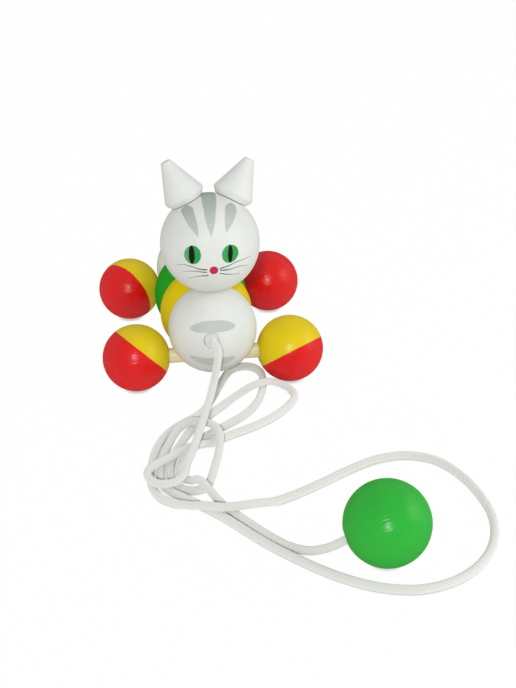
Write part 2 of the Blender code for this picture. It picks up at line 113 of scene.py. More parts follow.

# Route of the cord between its two holes, in millimetres, chosen along the picture's cord.
# A point of two values lies on the floor, with the cord's middle at the rest height.
CORD_REST = 2.25
CORD_ROUTE = [
    # down in front of the chest and over the pile
    (-0.2, -69.9, 34.1), (0.2, -72.3, 32.6), (-0.4, -74.5, 29.9), (-1.7, -77.1, 24.6),
    (-3.6, -80.5, 18.6), (-6.0, -86.5, 14.4), (-8.8, -95.5, 12.6), (-11.8, -107.0, 12.2),
    (-15.2, -119.0, 11.6), (-19.0, -130.5, 9.8), (-22.4, -139.2, 8.8),
    # hairpin on top of the left turns
    (-24.0, -146.6, 8.3), (-28.4, -151.8, 7.7), (-35.2, -152.3, 7.2), (-40.2, -147.6, 7.1),
    (-40.9, -140.6, 7.1), (-36.9, -134.9, 7.1), (-30.0, -129.5, 7.1), (-22.5, -123.4, 7.5),
    (-15.0, -117.0, 5.3),
    # right loop, near leg, end and far leg
    (-7.0, -110.3, 2.4), (3.0, -104.0), (14.0, -98.3), (25.0, -90.5), (34.5, -80.5), (40.4, -69.8),
    (38.5, -61.2, 2.6), (30.0, -58.8, 5.9), (20.8, -62.8, 7.2), (12.0, -66.8, 4.8), (4.0, -71.8, 2.4),
    (-3.5, -79.8),
    # second left turn, then the small loop upwards
    (-9.5, -88.0), (-15.5, -95.0), (-20.3, -103.6), (-24.6, -113.4), (-28.4, -124.6), (-30.1, -135.2),
    (-29.3, -142.6), (-26.8, -148.8), (-20.4, -152.2), (-14.0, -149.7), (-11.1, -142.8), (-8.3, -132.5),
    (-5.4, -122.0, 3.6), (-3.7, -112.5, 6.8), (-4.8, -104.0, 7.1), (-9.8, -98.2, 7.1),
    # third left turn, then away to the ball
    (-17.0, -97.0, 7.1), (-23.6, -101.0, 5.4), (-28.6, -108.8, 2.8), (-31.9, -118.6), (-34.2, -129.6),
    (-34.9, -139.5), (-33.5, -147.0), (-30.0, -152.4), (-25.0, -157.6), (-17.9, -164.8), (-9.2, -174.5),
    (-1.4, -185.1), (5.3, -194.3), (12.1, -202.8), (19.3, -210.6),
    # wide loop round the ball
    (27.3, -218.7), (38.5, -228.0), (53.0, -236.0), (69.0, -238.8), (85.0, -234.4), (98.5, -224.0),
    (107.8, -209.5), (112.3, -192.0), (111.5, -173.0), (107.0, -155.5), (98.5, -141.3), (86.0, -135.2),
    (71.0, -136.7), (55.0, -144.5), (40.0, -154.0), (25.5, -162.3),
    # over two strands, and the outer left turn
    (15.0, -167.8, 3.2), (7.5, -171.8, 5.8), (-0.5, -174.6, 7.1), (-9.0, -174.6, 7.1),
    (-16.5, -171.6, 6.6), (-23.6, -166.6, 4.0), (-30.6, -161.0, 2.4), (-36.6, -155.0), (-39.4, -146.4),
    (-39.6, -136.0), (-38.2, -124.5), (-35.2, -112.5), (-31.0, -102.5), (-25.6, -94.8), (-19.5, -89.2),
    (-13.2, -83.8), (-8.0, -76.8),
    # loop under the chest
    (-3.6, -67.0), (1.0, -55.5), (5.3, -44.6), (9.2, -36.9), (14.6, -32.6), (21.3, -33.4), (25.5, -39.2),
    (26.1, -49.0), (24.3, -60.5), (19.5, -74.0), (11.5, -85.5),
    # inner left turn, then along to the pull ball
    (2.5, -93.5), (-5.8, -100.3), (-12.8, -107.0), (-18.8, -114.8), (-23.1, -124.3), (-25.2, -134.0),
    (-24.3, -140.6, 2.4), (-20.8, -147.1, 4.7), (-17.3, -152.4, 8.0), (-13.2, -158.4, 5.9),
    (-8.0, -165.8, 2.5), (-1.3, -176.2), (5.3, -186.2), (11.8, -195.2), (18.4, -202.3, 2.3),
    (25.0, -207.2, 3.2), (30.6, -210.6, 5.8), (35.8, -213.0, 9.2),
]

# Painted face, in millimetres over the ball: to the viewer's right, and up from the ball's middle
EYES = {
    "left": {"at": (-11.45, 1.7), "half": (4.6, 5.35), "tilt": 0.03, "pale": 0.3},
    "right": {"at": (8.35, 1.6), "half": (4.6, 4.95), "tilt": 0.07, "pale": 0.08},
}
SLITS = {
    "left": {"at": (-11.75, 1.75), "half": (1.6, 5.4), "tilt": 0.0},
    "right": {"at": (8.25, 1.6), "half": (1.3, 5.0), "tilt": 0.03},
}
NOSE = {"at": (-0.5, -6.8), "half": (2.2, 2.4), "tilt": 0.0}
# Fullness and bluntness of a patch
OVAL, LENS, BRUSHED = (2.0, 0.5), (2.4, 0.6), (2.8, 0.6)
# Softness of painted edges
FINE_EDGE, BROAD_EDGE = 0.14, 0.30
# The iris is paler by a share of white on its left, from one place beside its middle to another
PALE_SHARE, PALE_SIDE = 0.45, (-4.0, 1.0)
# Whiskers: half width at the nose and its loss to the tip, how fast the ends run to a point, the paint's
# loss to the tip, and the softness of the edge
WHISKER = {"half": 0.35, "taper": 0.20, "point": 4.0, "fade": 0.25, "edge": 0.10}
WHISKERS = [
    [(-3.8, -6.4), (-8.5, -6.3), (-11.6, -5.4), (-15.9, -5.3), (-21.4, -8.2)],
    [(-4.1, -7.9), (-10.8, -8.1), (-17.1, -10.9)],
    [(-3.2, -9.9), (-9.9, -11.9), (-13.9, -15.3)],
    [(2.5, -5.9), (7.1, -5.1), (12.3, -3.8), (21.7, -3.9)],
    [(2.6, -6.9), (7.2, -7.4), (12.4, -7.4), (19.2, -10.0)],
    [(2.6, -8.9), (9.1, -11.4), (13.7, -13.3)],
]
# Forehead stripes: (height, edge) pairs up the left and the right side
STRIPES = {
    "middle": (
        [(11.0, -1.2), (18.7, -3.3), (26.0, -3.8), (36.2, -4.2), (44.3, -3.4), (50.0, -2.3), (54.0, 0.1)],
        [(11.0, -1.2), (16.3, 0.6), (25.4, 2.3), (34.9, 3.4), (42.0, 3.6), (50.0, 2.7), (54.0, 0.1)]),
    "left": (
        [(11.0, -7.6), (16.8, -11.5), (26.4, -14.9), (32.2, -15.8), (34.2, -14.1), (34.8, -12.2)],
        [(11.0, -7.6), (17.2, -7.7), (23.4, -8.5), (27.0, -9.0), (30.5, -9.7), (34.8, -12.2)]),
    "right": (
        [(12.6, 6.6), (16.2, 6.2), (20.7, 6.5), (25.8, 7.1), (30.6, 8.4), (34.0, 11.2)],
        [(12.6, 6.6), (17.6, 10.0), (23.7, 12.8), (29.1, 13.8), (32.6, 13.4), (34.0, 11.2)]),
}
STRIPE_STRENGTH = {"middle": 1.0, "left": 0.95, "right": 0.85}
# Their paint grows from one height to another, from one strength to another
STRIPE_FADE = (8.0, 40.0, 0.62, 1.0)
# Streaks of the brush: their stretch, their scale per millimetre, their share and what they leave bare
STREAK = {"stretch": 0.12, "scale": 2.2, "share": 0.6, "bare": 0.28}
# Chest: a patch's centre, half length, reach above and below, and strength
CHEST_PATCHES = {
    "upper": {"at": (-1.75, 11.55), "half": 12.5, "rise": 3.25, "drop": 3.15, "strength": 0.64},
    # the lower patch's weaker strength is partly painted light, standing in for floor light on the chest's
    # underside
    "lower": {"at": (-2.25, -8.1), "half": 12.9, "rise": 1.75, "drop": 4.25, "strength": 0.54},
}
# Wheels: the yellow half lies past a plane, given by its direction and its distance from the middle
WHEEL_SPLITS = {
    "front_left": ((0.663, 0.326, 0.674), 0.00428),
    "front_right": ((-0.393, 0.472, 0.789), -0.00206),
    "rear_left": ((0.720, 0.633, 0.284), -0.00160),
    "rear_right": ((0.150, 0.930, -0.335), 0.00100),
}


def srgb(red, green, blue):
    """Linear colour from screen values of 0 to 255."""
    return tuple(((c / 255 + 0.055) / 1.055) ** 2.4 for c in (red, green, blue))


def size(label, words, default):
    """Length in metres."""
    return FloatProperty(name=label, description=words, default=default, min=0.0, precision=5,
                         subtype="DISTANCE", unit="LENGTH")


def angle(label, words, degrees):
    """Angle, given in degrees."""
    return FloatProperty(name=label, description=words, default=math.radians(degrees), subtype="ANGLE")


def tint(label, words, *screen):
    """Colour, given in screen values."""
    return FloatVectorProperty(name=label, description=words, default=srgb(*screen), size=3, min=0.0,
                               max=1.0, subtype="COLOR")


class CatToySizes(bpy.types.PropertyGroup):
    """Driving sizes of the toy."""
    wheel_radius: size("Wheel radius", "Radius of the four ball wheels", 0.0180)
    wheel_hole: size("Wheel hole depth", "Depth of the blind axle hole in a wheel", 0.0240)
    axle_radius: size("Axle radius", "Radius of both axles", 0.0040)
    body_rise: size("Body rise", "Height of the spine above the axles", 0.0135)
    chest_radius: size("Chest radius", "Radius of the chest ball", 0.0237)
    chest_flat: size("Chest flat", "Distance from the chest's middle to its flat back", 0.0095)
    yellow_radius: size("Yellow bead radius", "Largest radius of the yellow bead", 0.0251)
    green_radius: size("Green bead radius", "Largest radius of the green bead", 0.0257)
    bead_rounding: size("Bead rounding", "Drop of a bead's rims below its middle", 0.0052)
    rear_radius: size("Rear ball radius", "Radius of the ball at the back", 0.0250)
    rear_flat: size("Rear ball flat", "Distance from the rear ball's middle to its flat front", 0.0229)
    spine_radius: size("Spine radius", "Radius of the dowel through the body", 0.0050)
    spine_depth: size("Spine depth", "Depth of the spine in the balls", 0.0120)
    head_radius: size("Head radius", "Radius of the head ball", 0.0260)
    neck_flat: size("Neck flat radius", "Radius of the flats where head and chest meet", 0.0066)
    neck_pin: size("Neck pin radius", "Radius of the neck dowel", 0.0040)
    neck_depth: size("Neck pin depth", "Depth of the neck dowel in head and chest", 0.0120)
    neck_lean: angle("Neck lean", "Backward lean of the head", 4.35)
    ear_radius: size("Ear radius", "Largest radius of an ear", 0.0111)
    ear_edge: size("Ear edge", "Drop of the ear's foot below its largest radius", 0.0024)
    ear_belly: size("Ear belly", "Height of the largest radius above the foot", 0.0033)
    ear_height: size("Ear height", "Height of an ear above its seat", 0.0234)
    ear_tip: size("Ear tip radius", "Radius of the ear's flat tip", 0.0026)
    ear_pin: size("Ear pin radius", "Radius of an ear's dowel", 0.0025)
    ear_depth: size("Ear pin depth", "Depth of an ear's dowel on each side", 0.0080)
    ear_left: angle("Left ear spread", "Sideways lean of the left ear", 26.2)
    ear_right: angle("Right ear spread", "Sideways lean of the right ear", 28.5)
    ear_left_back: angle("Left ear lean", "Backward lean of the left ear from the head's axis", 9.0)
    ear_right_back: angle("Right ear lean", "Backward lean of the right ear from the head's axis", 15.5)
    cord_diameter: size("Cord diameter", "Thickness of the cord", 0.0040)
    cord_hole: size("Cord hole radius", "Radius of the cord's hole in the chest", 0.0042)
    cord_hole_x: FloatProperty(name="Cord hole offset", description="Sideways place of the cord's hole",
                               default=-0.0022, precision=5, subtype="DISTANCE", unit="LENGTH")
    cord_hole_rise: size("Cord hole rise", "Height of the cord's hole above the spine", 0.0039)
    cord_hole_depth: size("Cord hole depth", "Depth of the cord's hole in the chest", 0.0152)
    cord_shift: size("Cord shift", "Sideways place of the cord in its hole in the chest", 0.0009)
    pull_hole: size("Pull ball hole radius", "Radius of the hole in the pull ball", 0.0036)
    pull_depth: size("Pull ball hole depth", "Depth of the hole in the pull ball", 0.0150)
    pull_tilt: angle("Pull ball tilt", "Downward tilt of the pull ball's hole", 18.0)


class CatToyColours(bpy.types.PropertyGroup):
    """Paints, wood and cord."""
    white: tint("White", "Paint of the head, ears, chest and rear ball", 230, 232, 227)
    red: tint("Red", "One half of the wheels", 225, 17, 19)
    yellow: tint("Yellow", "Other half of the wheels, and the front bead", 229, 203, 0)
    green: tint("Green", "Second bead", 27, 158, 24)
    ball_green: tint("Ball green", "Pull ball", 38, 178, 51)
    grey: tint("Stripe grey", "Stripes and chest patches", 173, 183, 177)
    grey_side: tint("Side stripe grey", "Outer forehead stripes", 173, 178, 170)
    iris: tint("Eye green", "Iris", 45, 160, 80)
    pupil: tint("Pupil", "Slit of the eyes", 3, 19, 5)
    nose: tint("Nose", "Nose", 194, 47, 80)
    whisker: tint("Whiskers", "Whisker lines", 48, 55, 48)
    wood: tint("Wood", "Bare wood of axles, pins and plugs", 240, 233, 190)
    cotton: tint("Cotton", "Cord", 231, 232, 228)


def settings():
    """Sizes, colours, and the places that follow from them."""
    scene = bpy.context.scene
    return scene.cat_toy_sizes, scene.cat_toy_colours, layout(scene.cat_toy_sizes)


def layout(s):
    """Places that follow from the sizes and the frame."""
    at = SimpleNamespace(axle={}, axle_half={})
    for row in ("front", "rear"):
        low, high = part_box(row + "_axle")
        at.axle[row] = (low + high) / 2
        at.axle_half[row] = (high.x - low.x) / 2
    at.half_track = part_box("front_right_wheel")[1].x - s.wheel_radius
    spine_z = at.axle["front"].z + s.body_rise
    at.chest = Vector((0.0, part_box("chest_ball")[0].y + s.chest_radius, spine_z))
    at.rear = Vector((0.0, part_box("rear_ball")[1].y - s.rear_radius, spine_z))
    at.lean = Euler((-s.neck_lean, 0.0, 0.0)).to_matrix()
    at.neck_low = math.sqrt(s.chest_radius ** 2 - s.neck_flat ** 2)
    at.neck_high = math.sqrt(s.head_radius ** 2 - s.neck_flat ** 2)
    at.head = at.chest + at.lean @ Vector((0.0, 0.0, at.neck_low + GAP + at.neck_high))
    at.ear_flat = s.ear_radius - s.ear_edge + SEAT_MARGIN
    at.ear_seat = math.sqrt(s.head_radius ** 2 - at.ear_flat ** 2)
    at.ear_turn = {side: Euler((-s.neck_lean - back, 0.0, 0.0)).to_matrix()
                   @ Euler((0.0, spread, 0.0)).to_matrix()
                   for side, spread, back in (("left", -s.ear_left, s.ear_left_back),
                                              ("right", s.ear_right, s.ear_right_back))}
    at.cord_hole = Vector((s.cord_hole_x, at.chest.y - s.chest_radius, spine_z + s.cord_hole_rise))
    low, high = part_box("pull_ball")
    at.pull = (low + high) / 2
    at.pull_radius = (high.z - low.z) / 2
    at.pull_out = Vector((-math.cos(s.pull_tilt), 0.0, -math.sin(s.pull_tilt)))
    at.pull_down = Vector((math.sin(s.pull_tilt), 0.0, -math.cos(s.pull_tilt)))
    at.pull_shift = s.pull_hole - s.cord_diameter / 2 - GAP
    across = at.pull_out.cross(at.pull_down)
    at.pull_turn = Matrix((at.pull_down, across, at.pull_out)).transposed()
    return at


# Surfaces

def skin(name, rings, closed=False, around_uv=None):
    """Mesh over a grid of points, one row per ring.

    Face (j, k) joins points k and k + 1 of rings j and j + 1.  A ring of no width becomes one pole point,
    and a closed skin joins its last ring to its first.  around_uv gives each ring's distance for a UV map.
    """
    rows, sides = rings.shape[:2]
    index = np.arange(rows * sides).reshape(rows, sides)
    poles = np.ptp(rings, axis=1).max(axis=1) < 1e-9
    index[poles] = index[poles][:, :1]
    if closed:
        index = np.vstack([index, index[:1]])
    corners = np.stack([index[:-1], index[1:], np.roll(index[1:], -1, 1), np.roll(index[:-1], -1, 1)], -1)
    used, corners = np.unique(corners, return_inverse=True)
    corners = corners.reshape(-1, 4)
    keep = np.ones(corners.shape, bool)
    for later in range(1, 4):
        keep[:, later] = (corners[:, :later] != corners[:, later:later + 1]).all(axis=1)
    starts = np.concatenate([[0], np.cumsum(keep.sum(axis=1))[:-1]])
    mesh = bpy.data.meshes.new(name)
    mesh.vertices.add(len(used))
    mesh.vertices.foreach_set("co", rings.reshape(-1, 3)[used].astype(np.float32).ravel())
    mesh.loops.add(int(keep.sum()))
    mesh.loops.foreach_set("vertex_index", corners[keep].astype(np.int32))
    mesh.polygons.add(len(corners))
    mesh.polygons.foreach_set("loop_start", starts.astype(np.int32))
    mesh.update(calc_edges=True)
    if around_uv is not None:
        turn = np.arange(sides) / sides
        u = np.stack([turn, turn, turn + 1 / sides, turn + 1 / sides], -1)
        u = np.broadcast_to(u, (rows - 1, sides, 4))
        near, far = around_uv[:-1, None, None], around_uv[1:, None, None]
        v = np.broadcast_to(np.concatenate([near, far, far, near], -1), (rows - 1, sides, 4))
        uv = np.stack([u, v], -1).reshape(-1, 4, 2)[keep]
        mesh.uv_layers.new(name="along").uv.foreach_set("vector", uv.astype(np.float32).ravel())
    mesh.shade_smooth()
    mesh.set_sharp_from_angle(angle=SHARP_ANGLE)
    return mesh


def turned(name, profile, sides, at, turn):
    """Lathe surface: a point (radius, height) of the profile goes to radius times the cosine and sine of an
    even angle, and to the height along the axis.  The profile runs down the outer side first."""
    profile = np.asarray(profile, float)
    around = np.linspace(0.0, 2 * np.pi, sides, endpoint=False)
    rings = np.stack([np.outer(profile[:, 0], np.cos(around)), np.outer(profile[:, 0], np.sin(around)),
                      np.repeat(profile[:, 1:], sides, axis=1)], -1)
    return skin(name, rings @ np.array(turn).T + np.array(at), closed=profile[0, 0] > 0.0)


def ball_outline(radius, top, bottom, rings):
    """Circle points between two heights: radius times sine and cosine of an even angle, top first."""
    first, last = (math.acos(max(-1.0, min(1.0, h / radius))) for h in (top, bottom))
    bend = np.linspace(first, last, max(3, round(rings * (last - first) / math.pi)) + 1)
    points = np.stack([radius * np.sin(bend), radius * np.cos(bend)], -1)
    points[np.abs(points[:, 0]) < 1e-9, 0] = 0.0
    return points.tolist()


def eased(points, reach, steps=5, most=0.45):
    """Outline with its inner corners rounded: each corner becomes a parabola between points a reach away, or
    less where a side is short."""
    points = [np.array(p, float) for p in points]
    line = [points[0]]
    t = np.linspace(0.0, 1.0, steps + 1)[:, None]
    for before, corner, after in zip(points[:-2], points[1:-1], points[2:]):
        into, out = before - corner, after - corner
        start = corner + into * min(most, reach / np.linalg.norm(into))
        end = corner + out * min(most, reach / np.linalg.norm(out))
        line.extend((1 - t) ** 2 * start + 2 * t * (1 - t) * corner + t ** 2 * end)
    return np.array(line + [points[-1]]).tolist()


def drill(radius, low, high, at, turn, mouth=None):
    """Round cutter along its own Z, flared at half a right angle above a mouth."""
    rim = [(radius, high)] if mouth is None else [(radius + high - mouth, high), (radius, mouth)]
    profile = [(0.0, high), *rim, (radius, low), (0.0, low)]
    return turned("drill", profile, DOWEL_SIDES, at, turn)


def spot_face(hole, low, seat, face, high, at, turn):
    """Stepped cutter: a blind hole with a wide flat at its mouth."""
    profile = [(0.0, high), (face, high), (face, seat), (hole, seat), (hole, low), (0.0, low)]
    return turned("spot_face", profile, DOWEL_SIDES, at, turn)


def cut(mesh, cutters):
    """Take the cutters out of a mesh, then shade the rest smooth with sharp rims."""
    body = bpy.data.objects.new(mesh.name, mesh)
    tools = [bpy.data.objects.new("cutter", cutter) for cutter in cutters]
    for thing in [body] + tools:
        bpy.context.scene.collection.objects.link(thing)
    for tool in tools:
        step = body.modifiers.new("cut", "BOOLEAN")
        step.operation = "DIFFERENCE"
        step.solver = "EXACT"
        step.object = tool
    bpy.context.view_layer.update()
    result = bpy.data.meshes.new_from_object(body.evaluated_get(bpy.context.evaluated_depsgraph_get()))
    for thing in [body] + tools:
        bpy.data.objects.remove(thing, do_unlink=True)
    result.shade_smooth()
    result.set_sharp_from_angle(angle=SHARP_ANGLE)
    return result


def read(items, name, width, kind=float):
    """One attribute of all items as an array, with a row for each item where it has a width."""
    values = np.empty(len(items) * width, kind)
    items.foreach_get(name, values)
    return values.reshape(-1, width) if width > 1 else values


def smooth_ball(mesh, centre, radius, near=0.01, facing=0.9):
    """Corner normals of a cut ball: straight out from its centre on the ball's own skin, as they are in the
    cuts.  A face is skin where its middle lies near the radius and it faces outwards."""
    centre = np.array(centre)
    out = read(mesh.vertices, "co", 3)[read(mesh.loops, "vertex_index", 1, int)] - centre
    outward = out / np.maximum(np.linalg.norm(out, axis=1, keepdims=True), 1e-12)
    face = np.repeat(np.arange(len(mesh.polygons)), read(mesh.polygons, "loop_total", 1, int))
    middle = np.linalg.norm(read(mesh.polygons, "center", 3) - centre, axis=1)[face]
    outward_share = (outward * read(mesh.polygons, "normal", 3)[face]).sum(axis=1)
    on_skin = (np.abs(middle - radius) < near * radius) & (outward_share > facing)
    normals = np.where(on_skin[:, None], outward, read(mesh.corner_normals, "vector", 3))
    mesh.normals_split_custom_set(normals.tolist())


def plug(name, radius, flat, low, high, at, turn, arc_points=25, flat_points=6):
    """Half-round plug along its own Z: rings are a disc's part on the -X side of a flat, drawn in towards
    their middle at both ends."""
    half = math.acos(-flat / radius)
    around = np.linspace(math.pi - half, math.pi + half, arc_points)
    chord = np.linspace(radius * math.sin(half), -radius * math.sin(half), flat_points + 2)[1:-1]
    outline = np.concatenate([np.stack([radius * np.cos(around), radius * np.sin(around)], -1),
                              np.stack([np.full(flat_points, flat), -chord], -1)])
    middle = outline.mean(axis=0)
    edge = EASED_EDGE / radius
    shrink = np.array([0.0, 1 - edge, 1.0, 1.0, 1 - edge, 0.0])
    height = np.array([high, high, high - EASED_EDGE, low + EASED_EDGE, low, low])
    ring = middle + (outline - middle)[None] * shrink[:, None, None]
    rings = np.concatenate([ring, np.broadcast_to(height[:, None, None], ring.shape[:2] + (1,))], -1)
    return skin(name, rings @ np.array(turn).T + np.array(at))


def smooth_route(points, per_span=12):
    """Centripetal Catmull-Rom curve: every span blends its four points in three rounds of straight lines, at
    times whose steps are the square roots of the points' distances."""
    points = np.asarray(points, dtype=float)
    padded = np.vstack([2 * points[0] - points[1], points, 2 * points[-1] - points[-2]])
    spans = len(points) - 1
    a, b, c, d = (padded[k:k + spans, None] for k in range(4))
    steps = np.sqrt(np.linalg.norm(np.diff(padded, axis=0), axis=1))
    t1, t2, t3 = np.cumsum([steps[k:k + spans, None, None] for k in range(3)], axis=0)
    t = t1 + (t2 - t1) * (np.arange(per_span) / per_span)[:, None]

    def blend(first, last, start, end):
        """Straight line from the first to the last point between two times."""
        return ((end - t) * first + (t - start) * last) / (end - start)

    ab, bc, cd = blend(a, b, 0.0, t1), blend(b, c, t1, t2), blend(c, d, t2, t3)
    curve = blend(blend(ab, bc, 0.0, t2), blend(bc, cd, t1, t3), t1, t2)
    return np.vstack([curve.reshape(-1, 3), points[-1:]])


def even_points(line, step):
    """Points at equal distances along a line, and those distances."""
    run = np.concatenate([[0.0], np.cumsum(np.linalg.norm(np.diff(line, axis=0), axis=1))])
    reach = np.linspace(0.0, run[-1], int(math.ceil(run[-1] / step)) + 1)
    return np.stack([np.interp(reach, run, line[:, k]) for k in range(3)], -1), reach


def tube(name, line, reach, radius, sides):
    """Cord surface: at each point of the line, the radius times cosine and sine of an even angle along the
    line's level side and its upward normal, closed by a point at both ends."""
    along = np.gradient(line, axis=0)
    along /= np.linalg.norm(along, axis=1, keepdims=True)
    side = np.cross(along, np.array([0.0, 0.0, 1.0]))
    side /= np.linalg.norm(side, axis=1, keepdims=True)
    up = np.cross(side, along)
    around = np.linspace(0.0, 2 * np.pi, sides, endpoint=False)[None, :, None]
    rings = line[:, None] + radius * (np.cos(around) * side[:, None] - np.sin(around) * up[:, None])
    ends = [np.broadcast_to(line[k], (1, sides, 3)) for k in (0, -1)]
    rings = np.concatenate([ends[0], rings, ends[1]])
    return skin(name, rings, around_uv=np.concatenate([reach[:1], reach, reach[-1:]]))


def piece(name, mesh, body, paint, replaced):
    """New piece of the toy that stands for a solid of the frame."""
    mesh.name = name
    mesh.materials.clear()
    mesh.materials.append(paint)
    obj = bpy.data.objects.new(name, mesh)
    bpy.context.scene.collection.objects.link(obj)
    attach(obj, body)
    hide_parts(replaced)
    return obj


# Materials

class Wires:
    """Adds nodes to one tree and joins them."""

    def __init__(self, tree):
        self.tree = tree

    def put(self, value, socket):
        """Join a socket to another, or set its value."""
        if isinstance(value, bpy.types.NodeSocket):
            self.tree.links.new(value, socket)
        elif socket.type == "RGBA" and len(value) == 3:
            socket.default_value = (*value, 1.0)
        else:
            socket.default_value = value

    def node(self, kind, inputs=None, **choices):
        """New node with its inputs joined or set and its choices made."""
        node = self.tree.nodes.new(kind)
        for key, value in choices.items():
            setattr(node, key, value)
        for key, value in (inputs or {}).items():
            self.put(value, node.inputs[key])
        return node

    def math(self, operation, first, second=0.0, third=0.0):
        return self.node("ShaderNodeMath", {0: first, 1: second, 2: third}, operation=operation).outputs[0]

    def plus(self, first, second):
        return self.math("ADD", first, second)

    def minus(self, first, second):
        return self.math("SUBTRACT", first, second)

    def times(self, first, second):
        return self.math("MULTIPLY", first, second)

    def ratio(self, first, second):
        return self.math("DIVIDE", first, second)

    def least(self, first, second):
        return self.math("MINIMUM", first, second)

    def most(self, first, second):
        return self.math("MAXIMUM", first, second)

    def slope(self, value, rise, start):
        """The value times the rise, plus the start."""
        return self.math("MULTIPLY_ADD", value, rise, start)

    def vector(self, operation, first, second=(0.0, 0.0, 0.0)):
        node = self.node("ShaderNodeVectorMath", {0: first, 1: second}, operation=operation)
        return node.outputs["Value" if operation in ("DOT_PRODUCT", "DISTANCE") else "Vector"]

    def scale(self, vector, factor):
        return self.vector("MULTIPLY", vector, (factor, factor, factor))

    def xyz(self, x, y, z):
        return self.node("ShaderNodeCombineXYZ", {0: x, 1: y, 2: z}).outputs[0]

    def parts(self, vector):
        return self.node("ShaderNodeSeparateXYZ", {0: vector}).outputs

    def mix(self, factor, first, second):
        """Colour between two others."""
        return self.node("ShaderNodeMix", {0: factor, 6: first, 7: second}, data_type="RGBA").outputs[2]

    def span(self, value, low, high, first=0.0, last=1.0):
        """Smooth step from first to last while the value goes from low to high."""
        node = self.node("ShaderNodeMapRange", {"Value": value, "From Min": low, "From Max": high,
                                                "To Min": first, "To Max": last})
        node.interpolation_type = "SMOOTHSTEP"
        return node.outputs[0]

    def soft(self, value, softness):
        """0 to 1 over the softness on both sides of zero."""
        return self.span(value, -softness, softness)

    def noise(self, vector, scale, detail=2.0, roughness=0.5, output=0):
        return self.node("ShaderNodeTexNoise", {"Vector": vector, "Scale": scale, "Detail": detail,
                                                "Roughness": roughness}).outputs[output]

    def use(self, tree, **inputs):
        """Place a group.  An underline in a name stands for a space."""
        node = self.node("ShaderNodeGroup", node_tree=tree)
        for key, value in inputs.items():
            self.put(value, node.inputs[key.replace("_", " ")])
        return node.outputs

    def curve(self, value, points, wide=100.0):
        """Smooth curve through (input, output) points, in millimetres either side of zero."""
        node = self.node("ShaderNodeFloatCurve")
        low, high = points[0][0], points[-1][0]
        line = node.mapping.curves[0]
        spots = [((x - low) / (high - low), 0.5 + y / wide) for x, y in points]
        line.points[0].location, line.points[-1].location = spots[0], spots[-1]
        for spot in spots[1:-1]:
            line.points.new(*spot)
        for point in line.points:
            point.handle_type = "AUTO_CLAMPED"
        node.mapping.update()
        self.put(self.ratio(self.minus(value, low), high - low), node.inputs["Value"])
        return self.times(self.minus(node.outputs[0], 0.5), wide)


def new_group(name, inputs, outputs):
    """Empty shader group with named sockets: its wires, its inputs and its outputs."""
    kinds = {"f": "NodeSocketFloat", "v": "NodeSocketVector", "c": "NodeSocketColor"}
    tree = bpy.data.node_groups.new(name, "ShaderNodeTree")
    for way, sockets in (("INPUT", inputs), ("OUTPUT", outputs)):
        for label, kind in sockets.items():
            tree.interface.new_socket(name=label, in_out=way, socket_type=kinds[kind])
    return Wires(tree), tree.nodes.new("NodeGroupInput").outputs, tree.nodes.new("NodeGroupOutput").inputs


def once(build):
    """The group of that name, made at its first use."""
    def found():
        return bpy.data.node_groups.get(build.__name__) or build(build.__name__)
    return found


@once
def ball_chart(name):
    """Millimetres over a ball: sideways is the radius times the arc sine of the level part, and upwards the
    radius times the angle from straight ahead.  A fine noise makes painted edges waver."""
    w, given, made = new_group(name, {"Vector": "v", "Centre": "v", "Lean": "f", "Radius": "f", "Waver": "f"},
                               {"Across": "f", "Up": "f"})
    spot = w.vector("SUBTRACT", given["Vector"], given["Centre"])
    turn = w.node("ShaderNodeVectorRotate", {"Vector": spot, "Angle": given["Lean"]}, rotation_type="X_AXIS")
    ray = w.parts(w.vector("NORMALIZE", turn.outputs[0]))
    across = w.times(w.math("ARCSINE", ray["X"]), given["Radius"])
    up = w.times(w.math("ARCTAN2", ray["Z"], w.times(ray["Y"], -1.0)), given["Radius"])
    shake = w.parts(w.noise(given["Vector"], EDGE_NOISE, output="Color"))
    for label, value, part in (("Across", across, shake["X"]), ("Up", up, shake["Y"])):
        w.put(w.slope(w.minus(part, 0.5), given["Waver"], value), made[label])
    return w.tree


@once
def brush_patch(name):
    """Mask of a painted patch: along its length t the half width is (1 - t^fullness)^bluntness, with its own
    width on each side of a tilted middle line."""
    w, given, made = new_group(name, dict.fromkeys((
        "Along", "Across", "Along Centre", "Across Centre", "Half Length", "Plus Side", "Minus Side", "Tilt",
        "Fullness", "Bluntness", "Softness"), "f"), {"Mask": "f"})
    run = w.minus(given["Along"], given["Along Centre"])
    t = w.ratio(w.math("ABSOLUTE", run), given["Half Length"])
    width = w.most(w.minus(1.0, w.math("POWER", t, given["Fullness"])), 0.0)
    width = w.math("POWER", width, given["Bluntness"])
    off = w.minus(w.minus(given["Across"], given["Across Centre"]), w.times(run, given["Tilt"]))
    inside = w.least(w.minus(w.times(width, given["Plus Side"]), off),
                     w.plus(w.times(width, given["Minus Side"]), off))
    inside = w.least(inside, w.times(w.minus(1.0, t), given["Half Length"]))
    w.put(w.soft(w.ratio(inside, given["Softness"]), 1.0), made["Mask"])
    return w.tree


